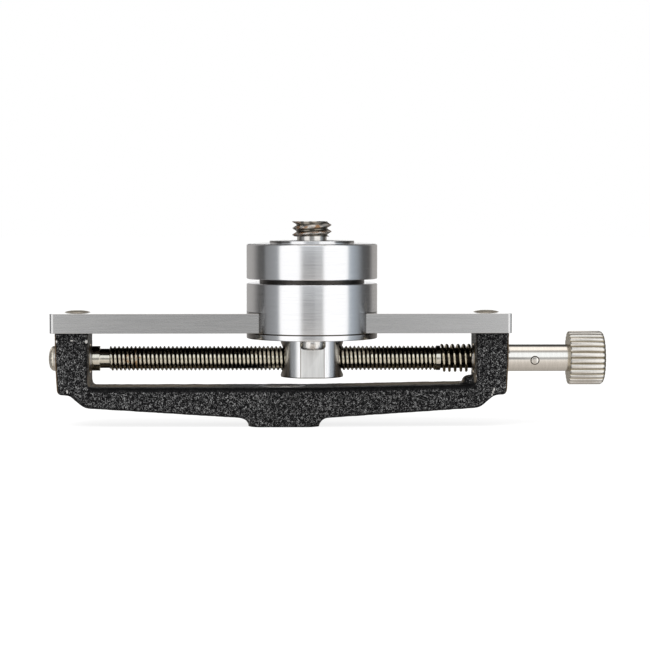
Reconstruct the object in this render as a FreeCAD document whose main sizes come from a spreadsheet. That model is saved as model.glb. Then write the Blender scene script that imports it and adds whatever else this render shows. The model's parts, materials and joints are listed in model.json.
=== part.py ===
"""A macro focusing rail: a cast frame with a guide bar, a leadscrew with its knob, and a carriage with a
turning camera platform. Millimetres, +Z up, +X towards the knob. The origin is the middle of the tripod
socket's mouth, on the underside of the foot."""

import FreeCAD, Part
import math
import os
import re

import Sketcher
from FreeCAD import Placement, Rotation, Vector

SIZES = {
    # cast frame
    "frame_length": 109.0,
    "frame_depth": 14.0,
    "post_thick": 8.1,
    "beam_top": 9.5,
    "beam_root": 2.1,
    "beam_rise": 2.4,
    "beam_swell": 0.7,
    "swell_start": 8.0,
    "toe_inset": 7.0,
    "step_inset": 3.4,
    "step_height": 7.6,
    "heel_inset": 0.9,
    "heel_rise": 0.9,
    "post_draft": 0.4,
    "toe_round": 3.0,
    "step_round": 1.2,
    "inner_round": 0.6,
    "edge_round": 0.8,
    "foot_left": 8.2,
    "foot_right": 9.0,
    "foot_corner": 3.5,
    "foot_flare": 1.5,
    # tripod socket
    "socket_diameter": 7.94,
    "socket_lead_in": 0.5,
    "tripod_bush_diameter": 11.5,
    # guide bar and its screws
    "bar_left_overhang": 0.95,
    "bar_right_overhang": 0.4,
    "bar_width": 18.5,
    "bar_thick": 4.7,
    "bar_corner": 1.0,
    "bar_chamfer": 0.3,
    "bar_screw_inset": 5.0,
    "bar_screw_head": 6.4,
    "bar_screw_dome": 0.4,
    "bar_screw_thread": 4.0,
    "screw_tip_gap": 0.4,
    "screw_clearance": 0.1,
    "driver_slot_width": 1.0,
    "driver_slot_depth": 0.8,
    # carriage
    "carriage_place": 7.2,
    "slide_gap": 0.08,
    "disc_diameter": 31.7,
    "web_thick": 7.0,
    "disc_chamfer": 0.3,
    "plate_thick": 1.5,
    "plate_chamfer": 0.4,
    "plate_screw_head": 6.1,
    "plate_screw_head_height": 2.2,
    "plate_screw_thread": 3.0,
    "plate_screw_grip": 7.5,
    "nut_post_diameter": 15.2,
    "nut_wall": 1.5,
    "nut_post_flat": 14.1,
    "nut_flat_height": 7.3,
    "nut_counterbore": 7.9,
    "nut_counterbore_depth": 2.0,
    "nut_screw_thread": 2.0,
    "nut_screw_head": 3.8,
    "nut_screw_length": 7.0,
    "nut_screw_slot_width": 0.5,
    "nut_screw_slot_depth": 0.45,
    # turning platform
    "ring_diameter": 25.4,
    "ring_height": 1.0,
    "platform_thick": 8.5,
    "seat_diameter": 20.5,
    "seat_height": 0.7,
    "seat_relief_gap": 0.55,
    "seat_relief_depth": 0.3,
    "stud_diameter": 9.525,
    "stud_pitch": 1.5875,
    "stud_crest": 0.35,
    "stud_height": 4.7,
    "stud_neck_diameter": 7.2,
    "stud_neck_height": 1.35,
    "stud_shank_diameter": 8.0,
    "pivot_thread_diameter": 6.0,
    "pocket_gap": 1.0,
    "pivot_tail_gap": 0.45,
    "pivot_nut_flats": 11.0,
    "pivot_nut_height": 2.6,
    "pivot_washer_diameter": 13.0,
    "pivot_washer_thick": 0.5,
    "key_diameter": 2.0,
    "key_length": 14.0,
    # leadscrew
    "screw_height": 16.2,
    "screw_to_bar": 6.5,
    "thread_diameter": 5.9,
    "thread_pitch": 1.0,
    "neck_diameter": 4.7,
    "neck_length": 2.3,
    "collar_diameter": 6.0,
    "left_collar_length": 2.0,
    "right_collar_length": 1.05,
    "left_journal": 4.0,
    "shaft_diameter": 5.0,
    "tail_diameter": 4.2,
    "bush_diameter": 7.0,
    "running_gap": 0.03,
    "end_gap": 0.05,
    "thrust_washer_thick": 0.4,
    "washer_diameter": 6.2,
    "end_screw_head": 6.0,
    "end_screw_height": 1.4,
    "end_screw_thread": 2.5,
    "end_screw_length": 7.0,
    "end_washer_thick": 0.45,
    # backlash spring
    "spring_space": 7.7,
    "spring_bore_gap": 0.225,
    "spring_wire": 0.7,
    "spring_turns": 5.25,
    "spring_ease": 0.1,
    "spring_phase": 80.0,
    "spring_washer_thick": 0.4,
    # knob
    "sleeve_diameter": 6.5,
    "sleeve_length": 14.85,
    "sleeve_gap": 0.1,
    "spigot_diameter": 5.4,
    "spigot_length": 6.9,
    "pin_diameter": 1.75,
    "pin_place": 6.5,
    "pin_length": 6.7,
    "pin_angle": 8.0,
    "knob_diameter": 13.0,
    "knob_length": 8.6,
    "knob_break": 0.25,
    "knob_round": 0.9,
    "knob_hub_diameter": 9.0,
    "knob_hub_height": 0.15,
    "flute_count": 27,
    "flute_width": 0.9,
    "flute_depth": 0.45,
}

# places and sizes that follow from the driving ones, as formulas
PLACES = {
    "half_length": "frame_length / 2",
    "post_in": "half_length - post_thick",
    "bar_screw_place": "half_length - bar_screw_inset",
    "swell_top": "beam_top + beam_swell",
    "toe_height": "beam_root + beam_rise",
    "post_top": "screw_height + screw_to_bar",
    "bar_length": "frame_length + bar_left_overhang + bar_right_overhang",
    "bar_place": "(bar_right_overhang - bar_left_overhang) / 2",
    "bar_top": "post_top + bar_thick",
    "bar_screw_tip": "screw_height + bush_diameter / 2 + screw_tip_gap",
    "bar_screw_cone": "(bar_screw_head - bar_screw_thread) / 2",
    "channel_top": "bar_top + slide_gap",
    "channel_width": "bar_width + 2 * slide_gap",
    "plate_top": "post_top - slide_gap",
    "plate_bottom": "plate_top - plate_thick",
    "plate_screw_reach": "(channel_width + disc_diameter) / 4",
    "deck_top": "channel_top + web_thick",
    "pocket_diameter": "pivot_washer_diameter + 2 * pocket_gap",
    "pocket_depth": "end_gap + pivot_washer_thick + pivot_nut_height + pivot_tail_gap",
    "pocket_top": "channel_top + pocket_depth",
    "platform_bottom": "deck_top + ring_height",
    "platform_top": "platform_bottom + platform_thick",
    "seat_top": "platform_top + seat_height",
    "relief_diameter": "stud_diameter + 2 * seat_relief_gap",
    "relief_floor": "seat_top - seat_relief_depth",
    "stud_top": "seat_top + stud_height",
    "nut_bore": "thread_diameter + 2 * running_gap",
    "nut_post_bottom": "screw_height - nut_bore / 2 - nut_wall",
    "nut_screw_reach": "(nut_bore + nut_post_flat) / 4",
    "nut_screw_cone": "(nut_screw_head - nut_screw_thread) / 2",
    "shank_bottom": "pocket_top - end_gap",
    "pivot_end": "shank_bottom - pivot_washer_thick - pivot_nut_height",
    "thrust_face": "post_in - thrust_washer_thick",
    "neck_start": "thrust_face - left_collar_length",
    "thread_start": "neck_start - neck_length",
    "spring_diameter": "shaft_diameter + 2 * (spring_bore_gap + spring_wire)",
    "spring_start": "post_in - spring_washer_thick - spring_space",
    "thread_end": "spring_start - right_collar_length",
    "sleeve_start": "half_length + sleeve_gap",
    "sleeve_end": "sleeve_start + sleeve_length",
    "pin_x": "sleeve_start + pin_place",
    "screw_end": "sleeve_end + spigot_length - end_gap",
    "journal_end": "half_length + end_gap",
    "end_screw_face": "journal_end + end_washer_thick",
}

# an outside thread's depth, the leadscrew's crest and the room at a thread's end, as shares of the pitch
THREAD_DEPTH = 0.61
LEAD_CREST = 1 / 8
RUN_OUT = 0.25

# the cosine of 45 degrees, for the middle point of a quarter round
SLANT = 0.5 ** 0.5

# outlines of the screws' heads, as shares of the head's radius and of its height
RAISED_HEAD = ((1, 0), (0.8, 0.6), (0.5, 1), (0, 1))
FILLISTER_HEAD = ((1, 0), (1, 0.65), (0.88, 0.88), (0.6, 1), (0, 1))
DOMED_HEAD = ((1, 0), (1, 0.25), (0.94, 0.5), (0.75, 0.82), (0.4, 1), (0, 1))

# two lengths this near are the same, and a wire's arc is measured at this many points
HAIR = 1e-4
ARC_SAMPLES = 12

NAMES = re.compile(r"[a-z][a-z_]*")

doc = FreeCAD.newDocument("focusing_rail")
sheet = doc.addObject("Spreadsheet::Sheet", "sizes")
for row, (alias, size) in enumerate(SIZES.items(), 1):
    sheet.set(f"A{row}", alias.replace("_", " "))
    sheet.set(f"B{row}", str(size))
    sheet.setAlias(f"B{row}", alias)
doc.recompute()


def full(formula):
    """The formula with each derived place written out and each size read from the sheet."""

    def swap(found):
        name = found.group()
        if name in PLACES:
            return f"({full(PLACES[name])})"
        return f"sizes.{name}" if name in SIZES else name

    return NAMES.sub(swap, str(formula))


def mm(formula):
    """What the formula comes to with the sheet's present sizes."""
    return float(sheet.evalExpression(full(formula)))


def bind(thing, **formulas):
    """Tie the thing's properties to formulas; x, y and z stand for its place."""
    for name, formula in formulas.items():
        path = f"Placement.Base.{name}" if name in ("x", "y", "z") else name
        thing.setExpression(path, full(formula))
    return thing


def new_body(label, **place):
    """An empty body for one piece, with its place."""
    body = doc.addObject("PartDesign::Body", label)
    body.Label = label
    return bind(body, **place)


def new_sketch(body, plane, name, lift="0"):
    """A sketch on one of the body's origin planes, raised along the plane's normal."""
    sketch = body.newObject("Sketcher::SketchObject", name)
    support = next(part for part in body.Origin.OriginFeatures if part.Role == plane)
    sketch.AttachmentSupport = [(support, "")]
    sketch.MapMode = "FlatFace"
    sketch.setExpression("AttachmentOffset.Base.z", full(lift))
    return sketch


def outline(body, plane, name, corners, lift="0"):
    """A closed sketch of straight edges, each corner placed by two formulas."""
    sketch = new_sketch(body, plane, name, lift)
    spots = [Vector(mm(across), mm(up), 0) for across, up in corners]
    edges = [Part.LineSegment(spot, after) for spot, after in zip(spots, spots[1:] + spots[:1])]
    sketch.addGeometry(edges, False)
    rules = []
    for index, spot in enumerate(spots):
        rules.append(Sketcher.Constraint("Coincident", index, 2, (index + 1) % len(spots), 1))
        rules.append(Sketcher.Constraint("DistanceX", -1, 1, index, 1, spot.x))
        rules.append(Sketcher.Constraint("DistanceY", -1, 1, index, 1, spot.y))
    sketch.addConstraint(rules)
    for index, (across, up) in enumerate(corners):
        sketch.setExpression(f"Constraints[{3 * index + 1}]", full(across))
        sketch.setExpression(f"Constraints[{3 * index + 2}]", full(up))
    return sketch


def circles(body, plane, name, rounds, lift="0"):
    """A sketch of circles, each given by two formulas for its centre and one for its diameter."""
    sketch = new_sketch(body, plane, name, lift)
    for index, (across, up, diameter) in enumerate(rounds):
        middle = Vector(mm(across), mm(up), 0)
        sketch.addGeometry(Part.Circle(middle, Vector(0, 0, 1), mm(diameter) / 2), False)
        rules = [
            Sketcher.Constraint("DistanceX", -1, 1, index, 3, middle.x),
            Sketcher.Constraint("DistanceY", -1, 1, index, 3, middle.y),
            Sketcher.Constraint("Diameter", index, mm(diameter)),
        ]
        sketch.addConstraint(rules)
        for offset, formula in enumerate((across, up, diameter)):
            sketch.setExpression(f"Constraints[{3 * index + offset}]", full(formula))
    return sketch


def rectangle(body, plane, name, width, height, lift="0"):
    """A closed sketch of a rectangle about the plane's origin."""
    right, top = f"({width}) / 2", f"({height}) / 2"
    left, low = f"0 - {right}", f"0 - {top}"
    return outline(body, plane, name, [(left, low), (right, low), (right, top), (left, top)], lift)


def extrude(body, kind, sketch, length=None, backward=False, both_ways=False):
    """A pad or a pocket of a sketch; a pocket with no length goes right through."""
    before = body.Shape.Volume if kind == "Pocket" else None
    feature = body.newObject(f"PartDesign::{kind}", f"{sketch.Name}_{kind.lower()}")
    feature.Profile = sketch
    feature.Reversed = backward
    feature.Midplane = both_ways
    if length is None:
        feature.Type = "ThroughAll"
    else:
        feature.setExpression("Length", full(length))
    doc.recompute()
    if before is not None and not body.Shape.Volume < before:
        raise ValueError(f"{sketch.Name} cuts nothing")
    return feature


def turn(body, sketch, axis):
    """A full turn of a sketch about its H_Axis or V_Axis."""
    feature = body.newObject("PartDesign::Revolution", f"{sketch.Name}_turn")
    feature.Profile = sketch
    feature.ReferenceAxis = (sketch, [axis])
    feature.Angle = 360.0
    doc.recompute()
    return feature


def dress(body, kind, chosen, size):
    """A fillet or chamfer on those edges of the body for which chosen(edge) is true."""
    names = [f"Edge{number}" for number, edge in enumerate(body.Shape.Edges, 1) if chosen(edge)]
    if not names:
        raise ValueError(f"{body.Label} has no such edge for its {kind}")
    base = body.Tip
    feature = body.newObject(f"PartDesign::{kind}", f"{body.Label}_{kind.lower()}")
    feature.Base = (base, names)
    feature.setExpression("Radius" if kind == "Fillet" else "Size", full(size))
    doc.recompute()
    return feature


X_AXIS, Y_AXIS, Z_AXIS = Vector(1, 0, 0), Vector(0, 1, 0), Vector(0, 0, 1)


def near(one, other):
    """Whether two lengths are the same to within a hair."""
    return abs(one - other) < HAIR


def along(edge, axis):
    """Whether a straight edge runs along the axis."""
    straight = edge.Curve.TypeId == "Part::GeomLine"
    return straight and near(abs(edge.tangentAt(edge.FirstParameter).dot(axis)), 1)


def round_at(edge, height, radius):
    """Whether the edge is a circle of this radius at this height."""
    is_round = edge.Curve.TypeId == "Part::GeomCircle"
    return is_round and near(edge.Curve.Radius, mm(radius)) and near(edge.Curve.Center.z, mm(height))


def mirrored(formula):
    """The same place on the other side of the middle."""
    return f"0 - ({formula})"


def lathe(label, corners, axis="V_Axis", **place):
    """A turned piece: corners are (radius, height) about V_Axis, or (run, radius) about H_Axis."""
    body = new_body(label, **place)
    turn(body, outline(body, "XZ_Plane", f"{label}_profile", corners), axis)
    return body


def ring(label, inner, outer, start, end, axis="V_Axis", **place):
    """A plain turned ring or tube, from start to end along its axis."""
    corners = [(inner, start), (outer, start), (outer, end), (inner, end)]
    if axis == "H_Axis":
        corners = [(run, radius) for radius, run in corners]
    return lathe(label, corners, axis, **place)


def head(shares, diameter, height, base, way="+"):
    """A screw head's outline outward from its base, as (radius, place along the screw)."""
    return [(f"{diameter} / 2 * {wide}", f"{base} {way} {height} * {out}") for wide, out in shares]


def pair(label, source, normal):
    """Two like fasteners as one group: the one modelled and its mirror image."""
    other = doc.addObject("Part::Mirroring", f"{label}_other")
    other.Source = source
    other.Normal = normal
    group = doc.addObject("Part::Compound", label)
    group.Links = [source, other]
    group.Label = label
    return group


def formed(label, shape, x=0.0, z=0.0):
    """A piece whose shape is worked out in this file, such as one with a toothed profile."""
    piece = doc.addObject("Part::Feature", label)
    piece.Shape = shape
    piece.Placement = Placement(Vector(x, 0, z), Rotation())
    piece.Label = label
    return piece


def spun(corners, axis):
    """The solid that a closed outline in the XZ plane makes when it turns about the axis."""
    spots = [Vector(x, 0, z) for x, z in corners]
    face = Part.Face(Part.makePolygon(spots + spots[:1]))
    return face.revolve(Vector(0, 0, 0), axis, 360)


def teeth(start, end, root, crest, pitch, crest_width):
    """A thread's outline from start to end as (run, radius): ridges with flat crests, a pitch apart."""
    slope = (pitch - 2 * crest_width) / 2
    spots = []
    for index in range(int((end - start) / pitch - RUN_OUT)):
        run = start + index * pitch
        spots.append((run + crest_width, root))
        spots.append((run + crest_width + slope, crest))
        spots.append((run + 2 * crest_width + slope, crest))
        spots.append((run + pitch, root))
    return spots


def cast_frame():
    """The casting: a U of beam and posts on a foot, bored for its bushes and screws."""
    body = new_body("cast_frame")
    near_edge, far_edge = "0 - frame_depth / 2", "frame_depth / 2"
    foot = [
        (mirrored("foot_left"), near_edge),
        ("foot_right", near_edge),
        ("foot_right", far_edge),
        (mirrored("foot_left"), far_edge),
    ]
    extrude(body, "Pad", outline(body, "XY_Plane", "foot", foot), "toe_height")
    dress(body, "Fillet", lambda edge: along(edge, Z_AXIS), "foot_corner")
    right = [
        ("half_length - toe_inset", "toe_height"),
        ("half_length - step_inset", "step_height"),
        ("half_length - heel_inset", "step_height"),
        ("half_length - post_draft", "step_height + heel_rise"),
        ("half_length", "screw_height"),
        ("half_length", "post_top"),
        ("post_in", "post_top"),
    ]
    left = [(mirrored(across), up) for across, up in reversed(right)]
    window = [("post_in", "swell_top"), ("swell_start", "beam_top"), (mirrored("post_in"), "beam_top")]
    inside = f"foot_flare * {1 - SLANT}"
    flare = [("foot_flare", "0"), (inside, inside), ("0", "foot_flare")]
    root_left = [(f"0 - foot_left - {out}", f"beam_root - {down}") for out, down in flare]
    root_right = [(f"foot_right + {out}", f"beam_root - {down}") for out, down in reversed(flare)]
    side = outline(body, "XZ_Plane", "side", root_left + root_right + right + window + left)
    extrude(body, "Pad", side, "frame_depth", both_ways=True)

    def corner(across, up):
        """A test for the edges across the frame at one corner of its side view."""

        def test(edge):
            middle = edge.CenterOfMass
            return along(edge, Y_AXIS) and near(abs(middle.x), mm(across)) and near(middle.z, mm(up))

        return test

    def face_edge(edge):
        """Whether the edge bounds the front or back face, away from the foot and the machined tops."""
        box = edge.BoundBox
        flat = near(box.YLength, 0) and near(abs(box.YMin), mm("frame_depth") / 2)
        return flat and box.ZMin < mm("post_top - step_round") and box.ZMin > mm("beam_root") - HAIR

    dress(body, "Fillet", corner("post_in", "beam_top"), "inner_round")
    dress(body, "Fillet", corner("post_in", "swell_top"), "inner_round")
    dress(body, "Fillet", corner("half_length - toe_inset", "toe_height"), "toe_round")
    dress(body, "Fillet", corner("half_length - step_inset", "step_height"), "step_round")
    dress(body, "Fillet", face_edge, "edge_round")
    socket = circles(body, "XY_Plane", "socket_seat", [("0", "0", "tripod_bush_diameter")])
    extrude(body, "Pocket", socket, backward=True)
    bores = circles(body, "YZ_Plane", "bush_seats", [("0", "screw_height", "bush_diameter")])
    extrude(body, "Pocket", bores, both_ways=True)
    tap_places = ("bar_screw_place", mirrored("bar_screw_place"))
    taps = [(place, "0", "bar_screw_thread") for place in tap_places]
    taps = circles(body, "XY_Plane", "bar_screw_taps", taps, lift="post_top")
    extrude(body, "Pocket", taps, "post_top - bar_screw_tip")
    return body


def tripod_bush():
    """The threaded bush of the tripod socket, right through the beam, chamfered at its upper mouth."""
    corners = [
        ("socket_diameter / 2", "0"),
        ("tripod_bush_diameter / 2", "0"),
        ("tripod_bush_diameter / 2", "beam_top"),
        ("socket_diameter / 2 + socket_lead_in", "beam_top"),
        ("socket_diameter / 2", "beam_top - socket_lead_in"),
    ]
    return lathe("tripod_bush", corners)


def guide_bar():
    """The flat bar that the carriage slides on, with a countersunk hole over each post."""
    body = new_body("guide_bar", x="bar_place", z="post_top")
    extrude(body, "Pad", rectangle(body, "XY_Plane", "bar", "bar_length", "bar_width"), "bar_thick")
    dress(body, "Fillet", lambda edge: along(edge, Z_AXIS), "bar_corner")
    dress(body, "Chamfer", lambda edge: near(edge.BoundBox.ZLength, 0), "bar_chamfer")
    hole = "bar_screw_thread + 2 * screw_clearance"
    screw_places = ("bar_screw_place", mirrored("bar_screw_place"))
    holes = [(f"{place} - bar_place", "0", hole) for place in screw_places]
    extrude(body, "Pocket", circles(body, "XY_Plane", "bar_holes", holes), backward=True)
    dress(body, "Chamfer", lambda edge: round_at(edge, "bar_top", f"({hole}) / 2"), "bar_screw_cone")
    return body


def bar_screws():
    """The two slotted screws that hold the bar down, with raised countersunk heads."""
    top = "bar_top + bar_screw_dome"
    corners = [
        ("0", "bar_screw_tip"),
        ("bar_screw_thread / 2", "bar_screw_tip"),
        ("bar_screw_thread / 2", "bar_top - bar_screw_cone"),
    ]
    corners += head(RAISED_HEAD, "bar_screw_head", "bar_screw_dome", "bar_top")
    body = lathe("bar_screw", corners, x="bar_screw_place")
    slot = rectangle(body, "XY_Plane", "bar_screw_slot", "bar_screw_head", "driver_slot_width", top)
    extrude(body, "Pocket", slot, "driver_slot_depth")
    return pair("bar_screws", body, X_AXIS)


def bush(label, journal, start, end):
    """A bearing bush of the leadscrew, flush with both sides of its post."""
    bore = f"{journal} / 2 + running_gap"
    return ring(label, bore, "bush_diameter / 2", start, end, "H_Axis", z="screw_height")


def front_and_back(reach, diameter):
    """Two like circles, before and behind the middle."""
    return [("0", reach, diameter), ("0", mirrored(reach), diameter)]


def carriage_body():
    """The lower disc: a channel for the bar underneath, the pivot's bore and the pocket for its nut."""
    body = new_body("carriage_body", x="carriage_place")
    disc = circles(body, "XY_Plane", "lower_disc", [("0", "0", "disc_diameter")], lift="plate_top")
    extrude(body, "Pad", disc, "deck_top - plate_top")
    dress(body, "Chamfer", lambda edge: near(edge.BoundBox.ZLength, 0), "disc_chamfer")
    side = "channel_width / 2"
    channel = [
        (mirrored(side), "plate_top - disc_chamfer"),
        (side, "plate_top - disc_chamfer"),
        (side, "channel_top"),
        (mirrored(side), "channel_top"),
    ]
    extrude(body, "Pocket", outline(body, "YZ_Plane", "bar_channel", channel), both_ways=True)
    bore = [("0", "0", "stud_shank_diameter + 2 * running_gap")]
    extrude(body, "Pocket", circles(body, "XY_Plane", "pivot_bore", bore, lift="deck_top"))
    pocket = circles(body, "XY_Plane", "nut_pocket", [("0", "0", "pocket_diameter")], lift="channel_top")
    extrude(body, "Pocket", pocket, "pocket_depth", backward=True)
    taps = front_and_back("plate_screw_reach", "plate_screw_thread")
    taps = circles(body, "XY_Plane", "plate_screw_taps", taps, lift="plate_top")
    extrude(body, "Pocket", taps, "plate_screw_grip", backward=True)
    return body


def carriage_plate():
    """The round keeper plate under the bar."""
    body = new_body("carriage_plate", x="carriage_place")
    plate = circles(body, "XY_Plane", "keeper", [("0", "0", "disc_diameter")], lift="plate_bottom")
    extrude(body, "Pad", plate, "plate_thick")
    dress(body, "Chamfer", lambda edge: round_at(edge, "plate_bottom", "disc_diameter / 2"), "plate_chamfer")
    small = "nut_screw_thread + 2 * screw_clearance"
    holes = front_and_back("plate_screw_reach", "plate_screw_thread + 2 * screw_clearance")
    holes += front_and_back("nut_screw_reach", small)
    extrude(body, "Pocket", circles(body, "XY_Plane", "keeper_holes", holes, lift="plate_top"))
    dress(body, "Chamfer", lambda edge: round_at(edge, "plate_top", f"({small}) / 2"), "nut_screw_cone")
    return body


def plate_screws():
    """The two fillister screws that hold the keeper plate to the lower disc."""
    low = "plate_bottom - plate_screw_head_height"
    corners = [
        ("0", "plate_top + plate_screw_grip"),
        ("plate_screw_thread / 2", "plate_top + plate_screw_grip"),
        ("plate_screw_thread / 2", "plate_bottom"),
    ]
    corners += head(FILLISTER_HEAD, "plate_screw_head", "plate_screw_head_height", "plate_bottom", "-")
    body = lathe("plate_screw", corners, x="carriage_place", y="plate_screw_reach")
    slot = rectangle(body, "XY_Plane", "plate_screw_slot", "plate_screw_head", "driver_slot_width", low)
    extrude(body, "Pocket", slot, "driver_slot_depth", backward=True)
    return pair("plate_screws", body, Y_AXIS)


def nut_post():
    """The post under the plate that is the leadscrew's nut, with two flats and a counterbore each side."""
    body = new_body("nut_post", x="carriage_place")
    low, wide = "nut_post_bottom", "nut_post_diameter"
    stem = circles(body, "XY_Plane", "stem", [("0", "0", wide)], lift=low)
    extrude(body, "Pad", stem, "plate_bottom - nut_post_bottom")
    inner = "nut_post_flat / 2"
    for name, one, other in (("back_flat", inner, wide), ("front_flat", mirrored(wide), mirrored(inner))):
        corners = [(mirrored(wide), one), (wide, one), (wide, other), (mirrored(wide), other)]
        flat = outline(body, "XY_Plane", name, corners, lift=low)
        extrude(body, "Pocket", flat, "nut_flat_height", backward=True)
    thread = circles(body, "YZ_Plane", "nut_thread", [("0", "screw_height", "nut_bore")])
    extrude(body, "Pocket", thread, both_ways=True)
    floor = "nut_post_diameter / 2 - nut_counterbore_depth"
    mouth = [("0", "screw_height", "nut_counterbore")]
    extrude(body, "Pocket", circles(body, "YZ_Plane", "right_mouth", mouth, lift=floor), backward=True)
    extrude(body, "Pocket", circles(body, "YZ_Plane", "left_mouth", mouth, lift=mirrored(floor)))
    taps = front_and_back("nut_screw_reach", "nut_screw_thread")
    taps = circles(body, "XY_Plane", "nut_screw_taps", taps, lift="plate_bottom")
    extrude(body, "Pocket", taps, "nut_screw_length - plate_thick")
    return body


def nut_post_screws():
    """The two countersunk screws from the plate down into the nut post, flush under the bar."""
    corners = [
        ("0", "plate_top - nut_screw_length"),
        ("nut_screw_thread / 2", "plate_top - nut_screw_length"),
        ("nut_screw_thread / 2", "plate_top - nut_screw_cone"),
        ("nut_screw_head / 2", "plate_top"),
        ("0", "plate_top"),
    ]
    body = lathe("nut_post_screw", corners, x="carriage_place", y="nut_screw_reach")
    slot = rectangle(body, "XY_Plane", "nut_slot", "nut_screw_head", "nut_screw_slot_width", "plate_top")
    extrude(body, "Pocket", slot, "nut_screw_slot_depth")
    return pair("nut_post_screws", body, Y_AXIS)


def platform_disc():
    """The upper disc: the camera's raised seat, relieved round the stud, and the key's groove underneath."""
    bore = "stud_shank_diameter / 2"
    corners = [
        (bore, "platform_bottom"),
        ("disc_diameter / 2 - disc_chamfer", "platform_bottom"),
        ("disc_diameter / 2", "platform_bottom + disc_chamfer"),
        ("disc_diameter / 2", "platform_top - disc_chamfer"),
        ("disc_diameter / 2 - disc_chamfer", "platform_top"),
        ("seat_diameter / 2", "platform_top"),
        ("seat_diameter / 2", "seat_top"),
        ("relief_diameter / 2", "seat_top"),
        ("relief_diameter / 2", "relief_floor"),
        (bore, "relief_floor"),
    ]
    body = lathe("platform_disc", corners, x="carriage_place")
    groove = rectangle(body, "XY_Plane", "key_groove", "key_length", "key_diameter", "platform_bottom")
    extrude(body, "Pocket", groove, "key_diameter", backward=True)
    return body


def camera_stud():
    """The camera stud: its thread on top, the shank pressed in the disc, and the pivot's journal below."""
    top, floor = mm("stud_top"), mm("relief_floor")
    crest, shank = mm("stud_diameter") / 2, mm("stud_shank_diameter") / 2
    neck, pivot = mm("stud_neck_diameter") / 2, mm("pivot_thread_diameter") / 2
    pitch, land = mm("stud_pitch"), mm("stud_crest")
    root, thread = crest - THREAD_DEPTH * pitch, mm("seat_top + stud_neck_height")
    ridges = teeth(thread - land, top, root, crest, pitch, land)
    corners = [
        (0, mm("pivot_end")),
        (pivot, mm("pivot_end")),
        (pivot, mm("shank_bottom")),
        (shank, mm("shank_bottom")),
        (shank, floor),
        (neck, floor),
        (neck, thread - land),
    ]
    corners += [(radius, height) for height, radius in ridges]
    corners += [(root, top), (0, top)]
    key = mm("key_diameter") / 2
    hole = Part.makeCylinder(key, 2 * shank, Vector(-shank, 0, mm("platform_bottom") + key), X_AXIS)
    return formed("camera_stud", spun(corners, Z_AXIS).cut(hole), x=mm("carriage_place"))


def rod(label, radius, length, axis):
    """A plain round rod through its own middle along the axis, sized by formulas."""
    cylinder = doc.addObject("Part::Cylinder", label)
    cylinder.Label = label
    bind(cylinder, Radius=radius, Height=length)
    cylinder.Placement.Rotation = Rotation(Z_AXIS, axis)
    return cylinder


def stud_key():
    """The key: a pin across the stud, in the groove under the upper disc."""
    key = rod("stud_key", "key_diameter / 2", "key_length", X_AXIS)
    return bind(key, x="carriage_place - key_length / 2", z="platform_bottom + key_diameter / 2")


def pivot_nut():
    """The hexagon nut that closes the pivot, in the pocket under the lower disc."""
    hexagon = doc.addObject("Part::Prism", "nut_hexagon")
    hexagon.Polygon = 6
    bind(hexagon, Circumradius="pivot_nut_flats / sqrt(3)", Height="pivot_nut_height")
    bind(hexagon, x="carriage_place", z="pivot_end")
    thread = doc.addObject("Part::Cylinder", "pivot_nut_thread")
    bind(thread, Radius="pivot_thread_diameter / 2", Height="pivot_nut_height")
    bind(thread, x="carriage_place", z="pivot_end")
    nut = doc.addObject("Part::Cut", "pivot_nut")
    nut.Base, nut.Tool = hexagon, thread
    nut.Label = "pivot_nut"
    return nut


def leadscrew():
    """The screw: journal, collar, neck, thread, collar, shaft and tail, with the pin's hole and the tap."""
    journal, collar = mm("left_journal") / 2, mm("collar_diameter") / 2
    neck = mm("neck_diameter") / 2
    shaft, tail = mm("shaft_diameter") / 2, mm("tail_diameter") / 2
    crest, pitch = mm("thread_diameter") / 2, mm("thread_pitch")
    left, end = -mm("journal_end"), mm("screw_end")
    root = crest - THREAD_DEPTH * pitch
    ridges = teeth(-mm("thread_start"), mm("thread_end"), root, crest, pitch, LEAD_CREST * pitch)
    corners = [
        (left, 0),
        (left, journal),
        (-mm("thrust_face"), journal),
        (-mm("thrust_face"), collar),
        (-mm("neck_start"), collar),
        (-mm("neck_start"), neck),
        (-mm("thread_start"), neck),
    ]
    corners += ridges
    corners += [
        (mm("thread_end"), root),
        (mm("thread_end"), collar),
        (mm("spring_start"), collar),
        (mm("spring_start"), shaft),
        (mm("sleeve_start"), shaft),
        (mm("sleeve_start"), tail),
        (end, tail),
        (end, 0),
    ]
    screw = spun(corners, X_AXIS)
    pin = Part.makeCylinder(mm("pin_diameter") / 2, 4 * tail, Vector(mm("pin_x"), -2 * tail, 0), Y_AXIS)
    pin.rotate(Vector(0, 0, 0), X_AXIS, mm("pin_angle"))
    tap = Part.makeCylinder(mm("end_screw_thread") / 2, mm("end_screw_length"), Vector(left, 0, 0), X_AXIS)
    return formed("leadscrew", screw.cut(pin).cut(tap), z=mm("screw_height"))


def washer(label, hole, start, end):
    """A flat washer on the leadscrew's axis."""
    return ring(label, hole, "washer_diameter / 2", start, end, "H_Axis", z="screw_height")


def knob_sleeve():
    """The plated sleeve pinned on the screw's tail, with a spigot for the knob."""
    bore, skin, spigot = "tail_diameter / 2", "sleeve_diameter / 2", "spigot_diameter / 2"
    corners = [
        ("sleeve_start", bore),
        ("sleeve_start", skin),
        ("sleeve_end", skin),
        ("sleeve_end", spigot),
        ("sleeve_end + spigot_length", spigot),
        ("sleeve_end + spigot_length", bore),
    ]
    body = lathe("knob_sleeve", corners, "H_Axis", z="screw_height")
    hole = circles(body, "XZ_Plane", "pin_hole", [("pin_x", "0", "pin_diameter")])
    extrude(body, "Pocket", hole, both_ways=True)
    body.Placement.Rotation = Rotation(X_AXIS, 0)
    body.setExpression("Placement.Rotation.Angle", full("pin_angle"))
    return body


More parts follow.
